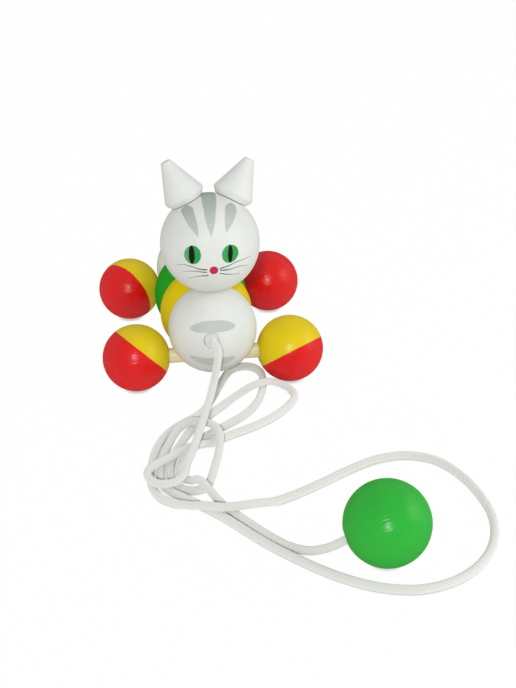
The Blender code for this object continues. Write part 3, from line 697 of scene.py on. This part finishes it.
@once
def painted_wood(name):
    """Satin paint on turned wood.  Slow clouds and a fine stipple shade the colour by a few hundredths, slow
    wear adds to the roughness, and the relief is grain drawn out along the axis, with the stipple on it."""
    w, given, made = new_group(name, {"Vector": "v", "Axis": "v", "Colour": "c", "Rough": "f"},
                               {"Colour": "c", "Roughness": "f", "Height": "f"})
    cloud = w.noise(given["Vector"], PAINT_CLOUDS, 3.0)
    stipple = w.noise(given["Vector"], PAINT_STIPPLE)
    run = w.vector("DOT_PRODUCT", given["Vector"], given["Axis"])
    along = w.vector("MULTIPLY", given["Axis"], w.xyz(run, run, run))
    grain = w.noise(w.vector("SUBTRACT", given["Vector"], w.scale(along, PAINT_DRAWN)), PAINT_GRAIN)
    shade = w.times(w.span(cloud, *CLOUD_SHADE), w.span(stipple, *STIPPLE_SHADE))
    w.put(w.vector("MULTIPLY", given["Colour"], w.xyz(shade, shade, shade)), made["Colour"])
    wear = w.span(w.noise(given["Vector"], PAINT_WEAR, 3.0), *WEAR_ROUGHNESS)
    w.put(w.plus(wear, given["Rough"]), made["Roughness"])
    w.put(w.slope(grain, PAINT_RELIEF["grain"], w.times(stipple, PAINT_RELIEF["stipple"])), made["Height"])
    return w.tree


@once
def bare_wood(name):
    """Pale straight-grained wood: noise drawn out along X for the grain, and short dark pores along it."""
    w, given, made = new_group(name, {"Vector": "v", "Colour": "c"},
                               {"Colour": "c", "Roughness": "f", "Height": "f"})
    grain = w.noise(w.vector("MULTIPLY", given["Vector"], WOOD_DRAWN), WOOD_GRAIN, 4.0, 0.6)
    pores = w.noise(w.vector("MULTIPLY", given["Vector"], PORES_DRAWN), WOOD_PORES, 1.0)
    pores = w.span(pores, *PORE_EDGE)
    dark = w.vector("MULTIPLY", given["Colour"], GRAIN_TINT)
    colour = w.mix(w.span(grain, *GRAIN_SHADE), given["Colour"], dark)
    w.put(w.mix(w.times(pores, PORE_STRENGTH), colour, w.scale(dark, PORE_TINT)), made["Colour"])
    w.put(w.span(grain, *GRAIN_ROUGHNESS), made["Roughness"])
    w.put(w.minus(w.times(grain, WOOD_RELIEF["grain"]), w.times(pores, WOOD_RELIEF["pores"])), made["Height"])
    return w.tree


@once
def plaited_cotton(name):
    """Round plait: two families of strands wind opposite ways.  Each rises as a sine across its width and
    passes over or under the other by the product of both sines.  Fine fibres lie on top.  The colour darkens
    where the plait lies low, a painted shade in the grooves between strands."""
    w, given, made = new_group(name, {"Along": "v", "Strands": "f", "Lay": "f", "Colour": "c"},
                               {"Colour": "c", "Height": "f"})
    uv = w.parts(given["Along"])
    turns = w.ratio(uv["Y"], given["Lay"])
    one, other = (w.math("SINE", w.times(w.times(phase, given["Strands"]), math.pi))
                  for phase in (w.plus(uv["X"], turns), w.minus(uv["X"], turns)))
    lift = w.times(w.times(one, other), PLAIT_RELIEF["lift"])
    height = w.most(w.plus(w.math("ABSOLUTE", one), lift), w.minus(w.math("ABSOLUTE", other), lift))
    fibre = w.noise(w.vector("MULTIPLY", given["Along"], FIBRES), 1.0, 3.0, 0.6)
    height = w.plus(height, w.times(fibre, PLAIT_RELIEF["fibre"]))
    # painted shade: darker where the plait lies low, in the grooves, with blue falling faster
    shade = w.span(height, *PLAIT_GROOVE_SHADE)
    tone = w.xyz(shade, shade, w.math("POWER", shade, WARM_GROOVE_SHADE))
    w.put(w.vector("MULTIPLY", given["Colour"], tone), made["Colour"])
    w.put(height, made["Height"])
    return w.tree


def new_material(name):
    """Material with one shader: its wires, its shader and the object's own coordinates."""
    made = bpy.data.materials.new(name)
    made.use_nodes = True
    w = Wires(made.node_tree)
    return made, w, made.node_tree.nodes["Principled BSDF"], w.node("ShaderNodeTexCoord").outputs


def bump(w, shader, height, distance):
    """Relief of a finish, as deep as the distance."""
    w.put(w.node("ShaderNodeBump", {"Height": height, "Distance": distance, "Strength": 1.0}).outputs[0],
          shader.inputs["Normal"])


def paint(name, colour, axis=UP, pattern=None, gloss=0.26, rough=0.21, relief=0.00008):
    """Satin paint that grows matt towards the rims, with a pattern painted on it."""
    made, w, shader, coords = new_material(name)
    if pattern is not None:
        colour = pattern(w, coords["Object"], tuple(colour))
    finish = w.use(painted_wood(), Vector=coords["Object"], Axis=tuple(axis), Colour=colour, Rough=rough)
    w.put(finish["Colour"], shader.inputs["Base Color"])
    aside = w.node("ShaderNodeLayerWeight", {"Blend": 0.5}).outputs["Facing"]
    w.put(w.plus(finish["Roughness"], w.span(aside, *RIM_ROUGHNESS)), shader.inputs["Roughness"])
    shader.inputs["Specular IOR Level"].default_value = gloss
    bump(w, shader, finish["Height"], relief)
    return made


def wood(name, colour, turn=(0.0, 0.0, 0.0), relief=0.00004):
    """Bare wood with its grain along X, turned to lie along the piece."""
    made, w, shader, coords = new_material(name)
    mapped = w.node("ShaderNodeMapping", {"Vector": coords["Object"], "Rotation": turn})
    finish = w.use(bare_wood(), Vector=mapped.outputs[0], Colour=tuple(colour))
    w.put(finish["Colour"], shader.inputs["Base Color"])
    w.put(finish["Roughness"], shader.inputs["Roughness"])
    bump(w, shader, finish["Height"], relief)
    return made


def cotton(name, colour, strands=8.0, lay=0.016, rough=0.85, sheen=0.15, relief=0.00009):
    """Plaited cotton on the cord's own UV map, as dull as a shader goes."""
    made, w, shader, coords = new_material(name)
    finish = w.use(plaited_cotton(), Along=coords["UV"], Strands=strands, Lay=lay, Colour=tuple(colour))
    w.put(finish["Colour"], shader.inputs["Base Color"])
    for label, value in (("Roughness", rough), ("Sheen Weight", sheen), ("Diffuse Roughness", 1.0)):
        shader.inputs[label].default_value = value
    bump(w, shader, finish["Height"], relief)
    return made


# Painted patterns: each takes the wires, the coordinates and the colour below, and gives the painted one

def patch(w, along, across, at, half, sides, form, edge, tilt=0.0):
    """Mask of a brush patch with its centre, half length, half widths on both sides and form."""
    return w.use(brush_patch(), Along=along, Across=across, Along_Centre=at[0], Across_Centre=at[1],
                 Half_Length=half, Plus_Side=sides[0], Minus_Side=sides[1], Tilt=tilt, Fullness=form[0],
                 Bluntness=form[1], Softness=edge)["Mask"]


def face_spot(w, chart, spot, form=OVAL):
    """Mask of an upright spot of the face."""
    (across, up), (half_across, half_up) = spot["at"], spot["half"]
    return patch(w, chart["Up"], chart["Across"], (up, across), half_up, (half_across, half_across), form,
                 FINE_EDGE, spot["tilt"])


def face(s, c, at, waver=0.5):
    """Pattern of the head: forehead stripes, eyes, nose and whiskers.

    A stripe lies between two curves over the height and thins out downwards, in streaks along the brush.
    A whisker's half width falls evenly from the nose to its tip.
    """
    def pattern(w, spot, colour):
        chart = w.use(ball_chart(), Vector=spot, Centre=tuple(at.head), Lean=s.neck_lean,
                      Radius=s.head_radius / MM, Waver=waver)
        across, up = chart["Across"], chart["Up"]
        streak = w.noise(w.xyz(across, w.times(up, STREAK["stretch"]), 0.0), STREAK["scale"], 3.0)
        strength = w.plus(w.span(up, *STRIPE_FADE), w.times(streak, STREAK["share"]))
        strength = w.least(w.minus(strength, STREAK["bare"]), 1.0)
        for name, (left, right) in STRIPES.items():
            sides = w.least(w.minus(across, w.curve(up, left)), w.minus(w.curve(up, right), across))
            ends = w.least(w.minus(up, left[0][0]), w.minus(left[-1][0], up))
            mask = w.times(w.soft(w.least(sides, ends), BROAD_EDGE), strength)
            colour = w.mix(w.times(mask, STRIPE_STRENGTH[name]), colour,
                           tuple(c.grey if name == "middle" else c.grey_side))
        pale = tuple((1 - PALE_SHARE) * green + PALE_SHARE * white for green, white in zip(c.iris, c.white))
        for side, eye in EYES.items():
            edge = w.span(w.minus(across, eye["at"][0]), *PALE_SIDE, eye["pale"], 0.0)
            colour = w.mix(face_spot(w, chart, eye), colour, w.mix(edge, tuple(c.iris), pale))
            colour = w.mix(face_spot(w, chart, SLITS[side], LENS), colour, tuple(c.pupil))
        for line in WHISKERS:
            off = w.math("ABSOLUTE", w.minus(up, w.curve(across, sorted(line))))
            near, far = line[0][0], line[-1][0]
            t = w.ratio(w.minus(across, near), far - near)
            inside = w.minus(w.slope(t, -WHISKER["taper"], WHISKER["half"]), off)
            inside = w.least(inside, w.times(w.least(t, w.minus(1.0, t)), WHISKER["point"]))
            mask = w.times(w.soft(inside, WHISKER["edge"]), w.slope(t, -WHISKER["fade"], 1.0))
            colour = w.mix(mask, colour, tuple(c.whisker))
        return w.mix(face_spot(w, chart, NOSE), colour, tuple(c.nose))
    return pattern


def hole_seam(s, at, core=0.0002, reach=0.0009, strength=0.45, grey=(0.38, 0.40, 0.39)):
    """Pattern beside the cord: painted shade, a soft grey band along the upper left edge of its hole."""
    def pattern(w, spot, colour):
        aside = w.vector("MULTIPLY", w.vector("SUBTRACT", spot, tuple(at.cord_hole)), (1.0, 0.0, 1.0))
        away = w.math("SQRT", w.vector("DOT_PRODUCT", aside, aside))
        off = w.math("ABSOLUTE", w.minus(away, s.cord_hole))
        upper_left = w.vector("DOT_PRODUCT", aside, tuple(Vector((-0.6, 0.0, 0.8)) / s.cord_hole))
        # painted shade: strongest at the hole's edge, on its upper left side
        mask = w.times(w.span(off, core, reach, strength, 0.0), w.span(upper_left, -0.2, 0.5))
        return w.mix(mask, colour, grey)
    return pattern


def chest_marks(s, c, at, waver=0.6):
    """Pattern of the chest: two lying grey patches and the painted shade along the rim of the cord's hole."""
    def pattern(w, spot, colour):
        chart = w.use(ball_chart(), Vector=spot, Centre=tuple(at.chest), Lean=0.0,
                      Radius=s.chest_radius / MM, Waver=waver)
        for mark in CHEST_PATCHES.values():
            mask = patch(w, chart["Across"], chart["Up"], mark["at"], mark["half"],
                         (mark["rise"], mark["drop"]), BRUSHED, BROAD_EDGE)
            colour = w.mix(w.times(mask, mark["strength"]), colour, tuple(c.grey))
        # the rim of the cord's hole gets its painted shade
        return hole_seam(s, at)(w, spot, colour)
    return pattern


def two_halves(centre, direction, offset, other, waver=0.0006, edge=0.00012):
    """Pattern of a wheel: a second colour past a plane, with a slightly wavering edge."""
    def pattern(w, spot, colour):
        past = w.vector("DOT_PRODUCT", w.vector("SUBTRACT", spot, tuple(centre)),
                        tuple(Vector(direction).normalized()))
        shake = w.times(w.minus(w.noise(spot, HALVES_NOISE), 0.5), waver)
        return w.mix(w.soft(w.minus(w.plus(past, shake), offset), edge), colour, tuple(other))
    return pattern


def ear_tip_shade(tip, reach, strength=0.35, darker=0.72):
    """Pattern of an ear: painted shade that makes the flat tip a little greyer."""
    def pattern(w, spot, colour):
        near = w.span(w.vector("DISTANCE", spot, tuple(tip)), reach * 0.8, reach * 1.25, strength, 0.0)
        return w.mix(near, colour, tuple(darker * v for v in colour))
    return pattern


# Operators, in the order in which they run

class CATTOY_OT_stage(bpy.types.Operator):
    """Camera at the picture's viewpoint, white floor and soft light"""
    bl_idname = "cattoy.stage"
    bl_label = "Stage"

    AIM = Vector((0.0, -0.09, 0.04))
    CAMERA_AT = Vector((-0.0537, -0.6633, 0.3422))
    CAMERA_YAW, CAMERA_PITCH, CAMERA_ROLL = 0.1251, 0.4748, -0.0057
    FOCAL_PIXELS, IMAGE_HEIGHT = 1300.0, 688.0
    SENSOR_MM = 36.0
    NEAREST = 0.01

    # The key lamp stands this many camera distances away, a little to the left
    KEY_REACH = 4.0
    KEY_ASIDE = Vector((-0.18, 0.0, 0.0))
    KEY_WATTS, KEY_ACROSS = 26.2, 0.16
    SIDE_AT = Vector((0.95, -0.30, 0.50))
    SIDE_WATTS, SIDE_ACROSS = 3.0, 0.7
    ROOM_LIGHT = 0.5

    FLOOR_HALF = 4.0
    FLOOR_TONES = (0.90, 0.90, 0.90), (0.94, 0.94, 0.94)
    # Share of plain white in what is seen of the floor, which greys as painted shade where its nearest
    # surroundings are closed
    FLOOR_GLOW = 0.985
    NEAR_FLOOR = 0.0035
    CLOSED, OPEN = 0.12, 0.42
    CLOSED_GREY, WHITE = (0.55, 0.55, 0.53), (1.0, 1.0, 1.0)

    def execute(self, context):
        scene = context.scene
        scene.view_settings.view_transform = "Standard"
        data = bpy.data.cameras.new("camera")
        data.sensor_width = self.SENSOR_MM
        data.lens = self.FOCAL_PIXELS * data.sensor_width / self.IMAGE_HEIGHT
        data.clip_start = self.NEAREST
        camera = bpy.data.objects.new("camera", data)
        camera.location = self.CAMERA_AT
        turn = Euler((math.pi / 2 - self.CAMERA_PITCH, 0.0, -self.CAMERA_YAW)).to_matrix()
        turn = turn @ Euler((0.0, 0.0, self.CAMERA_ROLL)).to_matrix()
        camera.rotation_euler = turn.to_euler()
        scene.collection.objects.link(camera)
        scene.camera = camera

        floor = bpy.data.objects.new("floor", self.sheet(self.FLOOR_HALF))
        floor.data.materials.append(self.floor_material())
        scene.collection.objects.link(floor)

        behind_camera = self.AIM + self.KEY_REACH * (self.CAMERA_AT - self.AIM)
        self.lamp(scene, "key", self.KEY_WATTS, self.KEY_ACROSS, behind_camera + self.KEY_ASIDE)
        self.lamp(scene, "side", self.SIDE_WATTS, self.SIDE_ACROSS, self.SIDE_AT)
        self.world(scene)
        return {"FINISHED"}

    def sheet(self, half):
        """Level square grid of two by two points."""
        x, y = np.meshgrid([-half, half], [-half, half])
        mesh = bpy.data.meshes.new("floor")
        mesh.from_pydata(np.stack([x, y, np.zeros((2, 2))], -1).reshape(-1, 3).tolist(), [], [(0, 1, 3, 2)])
        return mesh

    def seen(self, w):
        """1 for rays straight from the camera, through glass or off something shiny."""
        path = w.node("ShaderNodeLightPath").outputs
        return w.most(w.most(path["Is Camera Ray"], path["Is Transmission Ray"]), path["Is Glossy Ray"])

    def floor_material(self):
        """Matt ground that looks white where it is open, with painted shade that greys it where strands or
        wheels close it in.
        """
        made, w, shader, coords = new_material("floor_white")
        cloud = w.noise(coords["Object"], FLOOR_CLOUDS)
        w.put(w.mix(cloud, *self.FLOOR_TONES), shader.inputs["Base Color"])
        shader.inputs["Roughness"].default_value = 1.0
        shader.inputs["Specular IOR Level"].default_value = 0.0
        # painted shade: the seen floor greys where strands or wheels close it in
        openness = w.node("ShaderNodeAmbientOcclusion", {"Distance": self.NEAR_FLOOR}).outputs["AO"]
        ground = w.mix(w.span(openness, self.CLOSED, self.OPEN), self.CLOSED_GREY, self.WHITE)
        glow = w.node("ShaderNodeEmission", {"Color": ground, "Strength": 1.0})
        both = w.node("ShaderNodeMixShader", {0: w.times(self.seen(w), self.FLOOR_GLOW),
                                              1: shader.outputs[0], 2: glow.outputs[0]})
        w.put(both.outputs[0], made.node_tree.nodes["Material Output"].inputs["Surface"])
        return made

    def lamp(self, scene, name, power, across, at):
        """Round lamp that faces the toy."""
        data = bpy.data.lights.new(name, "AREA")
        data.shape = "DISK"
        data.size = across
        data.energy = power
        lamp = bpy.data.objects.new(name, data)
        lamp.location = at
        lamp.rotation_euler = (self.AIM - at).to_track_quat("-Z", "Y").to_euler()
        scene.collection.objects.link(lamp)

    def world(self, scene):
        """White room that lights the toy less than it shows."""
        world = bpy.data.worlds.new("studio")
        world.use_nodes = True
        scene.world = world
        w = Wires(world.node_tree)
        back = world.node_tree.nodes["Background"]
        w.put(self.WHITE, back.inputs["Color"])
        w.put(w.most(self.seen(w), self.ROOM_LIGHT), back.inputs["Strength"])


class CATTOY_OT_cord(bpy.types.Operator):
    """Plaited cord from the chest to the pull ball, and the ball with its plug"""
    bl_idname = "cattoy.cord"
    bl_label = "Cord and pull ball"

    # Points of the route in and before the chest's hole and in the ball, in radii of the cord
    IN_HOLE, BEFORE_HOLE, DROP, IN_BALL = 2.6, 0.9, 0.05, 3.0

    def execute(self, context):
        s, c, at = settings()
        radius = s.cord_diameter / 2
        x, front, z = at.cord_hole.x + s.cord_shift, at.cord_hole.y, at.cord_hole.z
        mouth = at.pull + at.pull_down * at.pull_shift + at.pull_out * at.pull_radius
        route = [(x, front + s.cord_hole_depth - radius, z), (x, front + self.IN_HOLE * radius, z),
                 (x, front - self.BEFORE_HOLE * radius, z - self.DROP * radius)]
        route += [tuple(MM * v for v in (*point, CORD_REST)[:3]) for point in CORD_ROUTE]
        route += [tuple(mouth), tuple(mouth - at.pull_out * self.IN_BALL * radius)]
        line, reach = even_points(smooth_route(route), CORD_ROW)
        cord = piece("cord", tube("cord", line, reach, radius, CORD_SIDES), TOY_BODY,
                     cotton("plaited_cord", c.cotton), "pull_cord")

        outline = ball_outline(at.pull_radius, at.pull_radius, -at.pull_radius, BALL_RINGS)
        ball = turned("pull_ball_paint", outline, BALL_SIDES, at.pull, Matrix.Identity(3))
        rim = math.sqrt(at.pull_radius ** 2 - s.pull_hole ** 2)
        ball = cut(ball, [drill(s.pull_hole, at.pull_radius - s.pull_depth, 2 * at.pull_radius, at.pull,
                                at.pull_turn, mouth=rim - EASED_EDGE)])
        smooth_ball(ball, at.pull, at.pull_radius)
        pull = piece("pull_ball_green", ball, TOY_BODY,
                     paint("pull_ball_paint", c.ball_green, at.pull_out), "pull_ball")
        wedge = plug("pull_plug", s.pull_hole - GAP, at.pull_shift - s.cord_diameter / 2 - GAP,
                     at.pull_radius - s.pull_depth + GAP, at.pull_radius - WEDGE_RECESS / 2, at.pull,
                     at.pull_turn)
        wedge = piece("pull_ball_plug", wedge, TOY_BODY, wood("pull_plug_wood", c.wood),
                      "pull_ball_wedge")
        return {"FINISHED"}


class CATTOY_OT_head(bpy.types.Operator):
    """Head ball with its painted face and the seats of the ears"""
    bl_idname = "cattoy.head"
    bl_label = "Head"

    def execute(self, context):
        s, c, at = settings()
        hole, floor = s.neck_pin + GAP, s.neck_depth + GAP - at.neck_high
        outline = ball_outline(s.head_radius, s.head_radius, -at.neck_high, BALL_RINGS)
        outline += [(hole, -at.neck_high), (hole, floor), (0.0, floor)]
        mesh = turned("head", outline, BALL_SIDES, at.head, at.lean)
        mesh = cut(mesh, [spot_face(s.ear_pin + GAP, at.ear_seat - s.ear_depth - GAP, at.ear_seat,
                                    at.ear_flat + 2 * SEAT_MARGIN, s.head_radius + at.ear_flat, at.head, turn)
                          for turn in at.ear_turn.values()])
        smooth_ball(mesh, at.head, s.head_radius)
        finish = paint("face_paint", c.white, at.lean @ Vector(UP), face(s, c, at), **MATT)
        piece("head", mesh, TOY_BODY, finish, "head_ball")
        return {"FINISHED"}


class CATTOY_OT_ears(bpy.types.Operator):
    """Two cone ears with flat tips"""
    bl_idname = "cattoy.ears"
    bl_label = "Ears"

    ROUNDING = 0.0009

    def execute(self, context):
        s, c, at = settings()
        low, hole = at.ear_seat + GAP, s.ear_pin + GAP
        top, inside = low + s.ear_height, low + s.ear_depth + GAP
        outline = eased([(0.0, top), (s.ear_tip, top), (s.ear_radius, low + s.ear_belly),
                         (s.ear_radius - s.ear_edge, low), (hole, low)], self.ROUNDING)
        outline += [(hole, inside), (0.0, inside)]
        for side, turn in at.ear_turn.items():
            name, axis = side + "_ear", turn @ Vector(UP)
            # the flat tip gets a little painted shade
            shade = ear_tip_shade(at.head + axis * top, s.ear_tip)
            finish = paint(name + "_paint", c.white, axis, shade, **MATT)
            piece(name, turned(name, outline, WHEEL_SIDES, at.head, turn), TOY_BODY, finish,
                  "ear_" + side)
        return {"FINISHED"}


class CATTOY_OT_chest(bpy.types.Operator):
    """Chest ball with its grey patches, the cord's hole and the plug beside the cord"""
    bl_idname = "cattoy.chest"
    bl_label = "Chest"

    PLUG_DEPTH = 0.0007  # of the painted plug and the paint round the cord below the hole's rim

    def execute(self, context):
        s, c, at = settings()
        hole, floor = s.spine_radius + GAP, s.chest_flat - s.spine_depth - GAP
        outline = [(0.0, floor), (hole, floor), (hole, s.chest_flat)]
        outline += ball_outline(s.chest_radius, s.chest_flat, -s.chest_radius, BALL_RINGS)
        mesh = turned("chest", outline, BALL_SIDES, at.chest, BACKWARD)
        bore = s.axle_radius + AXLE_PLAY
        rim = at.cord_hole - at.chest
        rim.y = -math.sqrt(s.chest_radius ** 2 - rim.x ** 2 - rim.z ** 2)
        out = rim.to_track_quat("Z", "Y").to_matrix()
        seat = math.sqrt(s.chest_radius ** 2 - s.cord_hole ** 2) - self.PLUG_DEPTH
        cord_at = at.cord_hole + Vector((s.cord_shift, 0.0, 0.0))
        flat = s.cord_shift - s.cord_diameter / 2 - SNUG
        # Seat and hole of the neck, bore of the axle, face of the plug, hole of the cord, pocket of the plug
        mesh = cut(mesh, [
            spot_face(s.neck_pin + GAP, at.neck_low - s.neck_depth - GAP, at.neck_low, 2 * s.neck_flat,
                      s.chest_radius + s.neck_flat, at.chest, at.lean),
            drill(bore, -2 * s.chest_radius, 2 * s.chest_radius, at.axle["front"], TO_RIGHT),
            drill(s.cord_hole, seat, s.chest_radius + s.cord_hole, at.chest, out),
            drill(s.cord_diameter / 2 + SNUG, -s.cord_hole_depth, s.chest_radius, cord_at, FORWARD),
            plug("pocket", s.cord_hole, flat + SNUG, -s.cord_hole_depth, s.chest_radius, at.cord_hole,
                 FORWARD),
        ])
        smooth_ball(mesh, at.chest, s.chest_radius)
        piece("chest", mesh, TOY_BODY,
              paint("chest_paint", c.white, LENGTHWISE, chest_marks(s, c, at), **MATT), "chest_ball")
        wedge = plug("plug", s.cord_hole - SNUG, flat, GAP - s.cord_hole_depth, s.cord_hole, at.cord_hole,
                     FORWARD)
        wedge = cut(wedge, [drill(4 * s.cord_hole, seat - SNUG, 2 * s.chest_radius, at.chest, out)])
        # the plug's face carries the same painted shade along the hole's rim
        piece("chest_plug", wedge, TOY_BODY,
              paint("chest_plug_paint", c.white, pattern=hole_seam(s, at), **MATT), "cord_wedge")
        return {"FINISHED"}


class CATTOY_OT_body(bpy.types.Operator):
    """Yellow and green beads and the white ball at the back"""
    bl_idname = "cattoy.body"
    bl_label = "Beads and rear ball"

    BEAD_ROWS, RIM_ROWS = 33, 5

    def execute(self, context):
        s, c, at = settings()
        for name, node, radius, colour, slot in (
                ("bead_yellow", "yellow_bead", s.yellow_radius, c.yellow, "yellow_paint"),
                ("bead_green", "green_bead", s.green_radius, c.green, "green_paint")):
            low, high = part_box(node)
            middle = Vector(((low.x + high.x) / 2, (low.y + high.y) / 2, at.chest.z))
            mesh = self.bead(name, radius, high.y - low.y, s, middle)
            piece(name, mesh, TOY_BODY, paint(name + "_paint", colour, LENGTHWISE, **MATT), node)
        hole, floor = s.spine_radius + GAP, s.spine_depth + GAP - s.rear_flat
        outline = ball_outline(s.rear_radius, s.rear_radius, -s.rear_flat, BALL_RINGS)
        outline += [(hole, -s.rear_flat), (hole, floor), (0.0, floor)]
        mesh = turned("rear", outline, BALL_SIDES, at.rear, BACKWARD)
        bore = s.axle_radius + AXLE_PLAY
        mesh = cut(mesh, [drill(bore, -2 * s.rear_radius, 2 * s.rear_radius, at.axle["rear"], TO_RIGHT)])
        smooth_ball(mesh, at.rear, s.rear_radius)
        piece("rear", mesh, TOY_BODY, paint("rear_paint", c.white, LENGTHWISE, **MATT),
              "rear_ball")
        return {"FINISHED"}

    def bead(self, name, radius, length, s, middle):
        """Barrel bead: the radius times the root of 1 minus the square of the height over its reach, with a
        hole on the spine's line, a little off the bead's own middle."""
        face_radius = radius - s.bead_rounding
        reach = (length / 2) / math.sqrt(1 - (face_radius / radius) ** 2)
        heights = np.linspace(length / 2, -length / 2, self.BEAD_ROWS)
        line = np.stack([radius * np.sqrt(1 - (heights / reach) ** 2), heights], -1).tolist()
        rim = self.RIM_ROWS
        profile = eased([(0.0, length / 2), line[0], line[rim - 1]], EASED_EDGE) + line[rim:-rim]
        profile += eased([line[-rim], line[-1], (0.0, -length / 2)], EASED_EDGE)
        barrel = turned(name, profile, BALL_SIDES, middle, BACKWARD)
        spine = Vector((0.0, middle.y, middle.z))
        return cut(barrel, [drill(s.spine_radius + GAP, -length, length, spine, BACKWARD)])


class CATTOY_OT_wheels(bpy.types.Operator):
    """Four two-coloured ball wheels and the two axles"""
    bl_idname = "cattoy.wheels"
    bl_label = "Wheels and axles"

    def execute(self, context):
        s, c, at = settings()
        hole, bottom = s.axle_radius + GAP, s.wheel_radius - s.wheel_hole
        mouth = math.sqrt(s.wheel_radius ** 2 - (hole + EASED_EDGE) ** 2)
        outline = [(0.0, bottom), (hole, bottom), (hole, mouth - EASED_EDGE)]
        outline += ball_outline(s.wheel_radius, mouth, -s.wheel_radius, WHEEL_RINGS)
        for row in ("front", "rear"):
            body = row + "_wheelset"
            half = at.axle_half[row]
            dowel = eased([(0.0, half), (s.axle_radius, half), (s.axle_radius, -half), (0.0, -half)],
                          EASED_EDGE)
            mesh = turned(row + "_axle", dowel, DOWEL_SIDES, at.axle[row], TO_RIGHT)
            piece(row + "_axle_dowel", mesh, body, wood(row + "_axle_grain", c.wood),
                  row + "_axle")
            for side, sign, inward in (("left", -1.0, TO_RIGHT), ("right", 1.0, TO_LEFT)):
                name = row + "_" + side
                place = at.axle[row] + Vector((sign * at.half_track, 0.0, 0.0))
                halves = two_halves(place, *WHEEL_SPLITS[name], c.yellow)
                finish = paint(name + "_paint", c.red, SIDEWAYS, halves)
                mesh = turned(name, outline, WHEEL_SIDES, place, inward)
                piece(name + "_ball", mesh, body, finish, name + "_wheel")
        return {"FINISHED"}


class CATTOY_OT_dowels(bpy.types.Operator):
    """Bare wood on the hidden dowels, which stay as the frame has them"""
    bl_idname = "cattoy.dowels"
    bl_label = "Dowels"

    def execute(self, context):
        c = settings()[1]
        upright, lengthwise = (0.0, math.pi / 2, 0.0), (0.0, 0.0, math.pi / 2)
        for node, turn in (("spine_dowel", lengthwise), ("neck_dowel", upright), ("ear_pin_left", upright),
                           ("ear_pin_right", upright)):
            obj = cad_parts[node]
            obj.data.materials.clear()
            obj.data.materials.append(wood(node + "_grain", c.wood, turn))
        return {"FINISHED"}


class CATTOY_PT_toy(bpy.types.Panel):
    """Steps and values of the toy"""
    bl_idname = "CATTOY_PT_toy"
    bl_label = "Cat toy"
    bl_space_type = "VIEW_3D"
    bl_region_type = "UI"
    bl_category = "Cat toy"

    def draw(self, context):
        column = self.layout.column()
        for step in STEPS:
            column.operator(step.bl_idname)
        for group in (context.scene.cat_toy_sizes, context.scene.cat_toy_colours):
            for name in group.bl_rna.properties.keys():
                if name not in ("rna_type", "name"):
                    column.prop(group, name)


STEPS = (CATTOY_OT_stage, CATTOY_OT_cord, CATTOY_OT_head, CATTOY_OT_ears, CATTOY_OT_chest, CATTOY_OT_body,
         CATTOY_OT_wheels, CATTOY_OT_dowels)
CLASSES = (CatToySizes, CatToyColours) + STEPS + (CATTOY_PT_toy,)


def register():
    for made in CLASSES:
        bpy.utils.register_class(made)
    bpy.types.Scene.cat_toy_sizes = PointerProperty(type=CatToySizes)
    bpy.types.Scene.cat_toy_colours = PointerProperty(type=CatToyColours)


def unregister():
    del bpy.types.Scene.cat_toy_colours
    del bpy.types.Scene.cat_toy_sizes
    for made in reversed(CLASSES):
        bpy.utils.unregister_class(made)


def main():
    register()
    bpy.ops.cattoy.stage()
    bpy.ops.cattoy.cord()
    bpy.ops.cattoy.head()
    bpy.ops.cattoy.ears()
    bpy.ops.cattoy.chest()
    bpy.ops.cattoy.body()
    bpy.ops.cattoy.wheels()
    bpy.ops.cattoy.dowels()


if __name__ == "__main__":
    main()
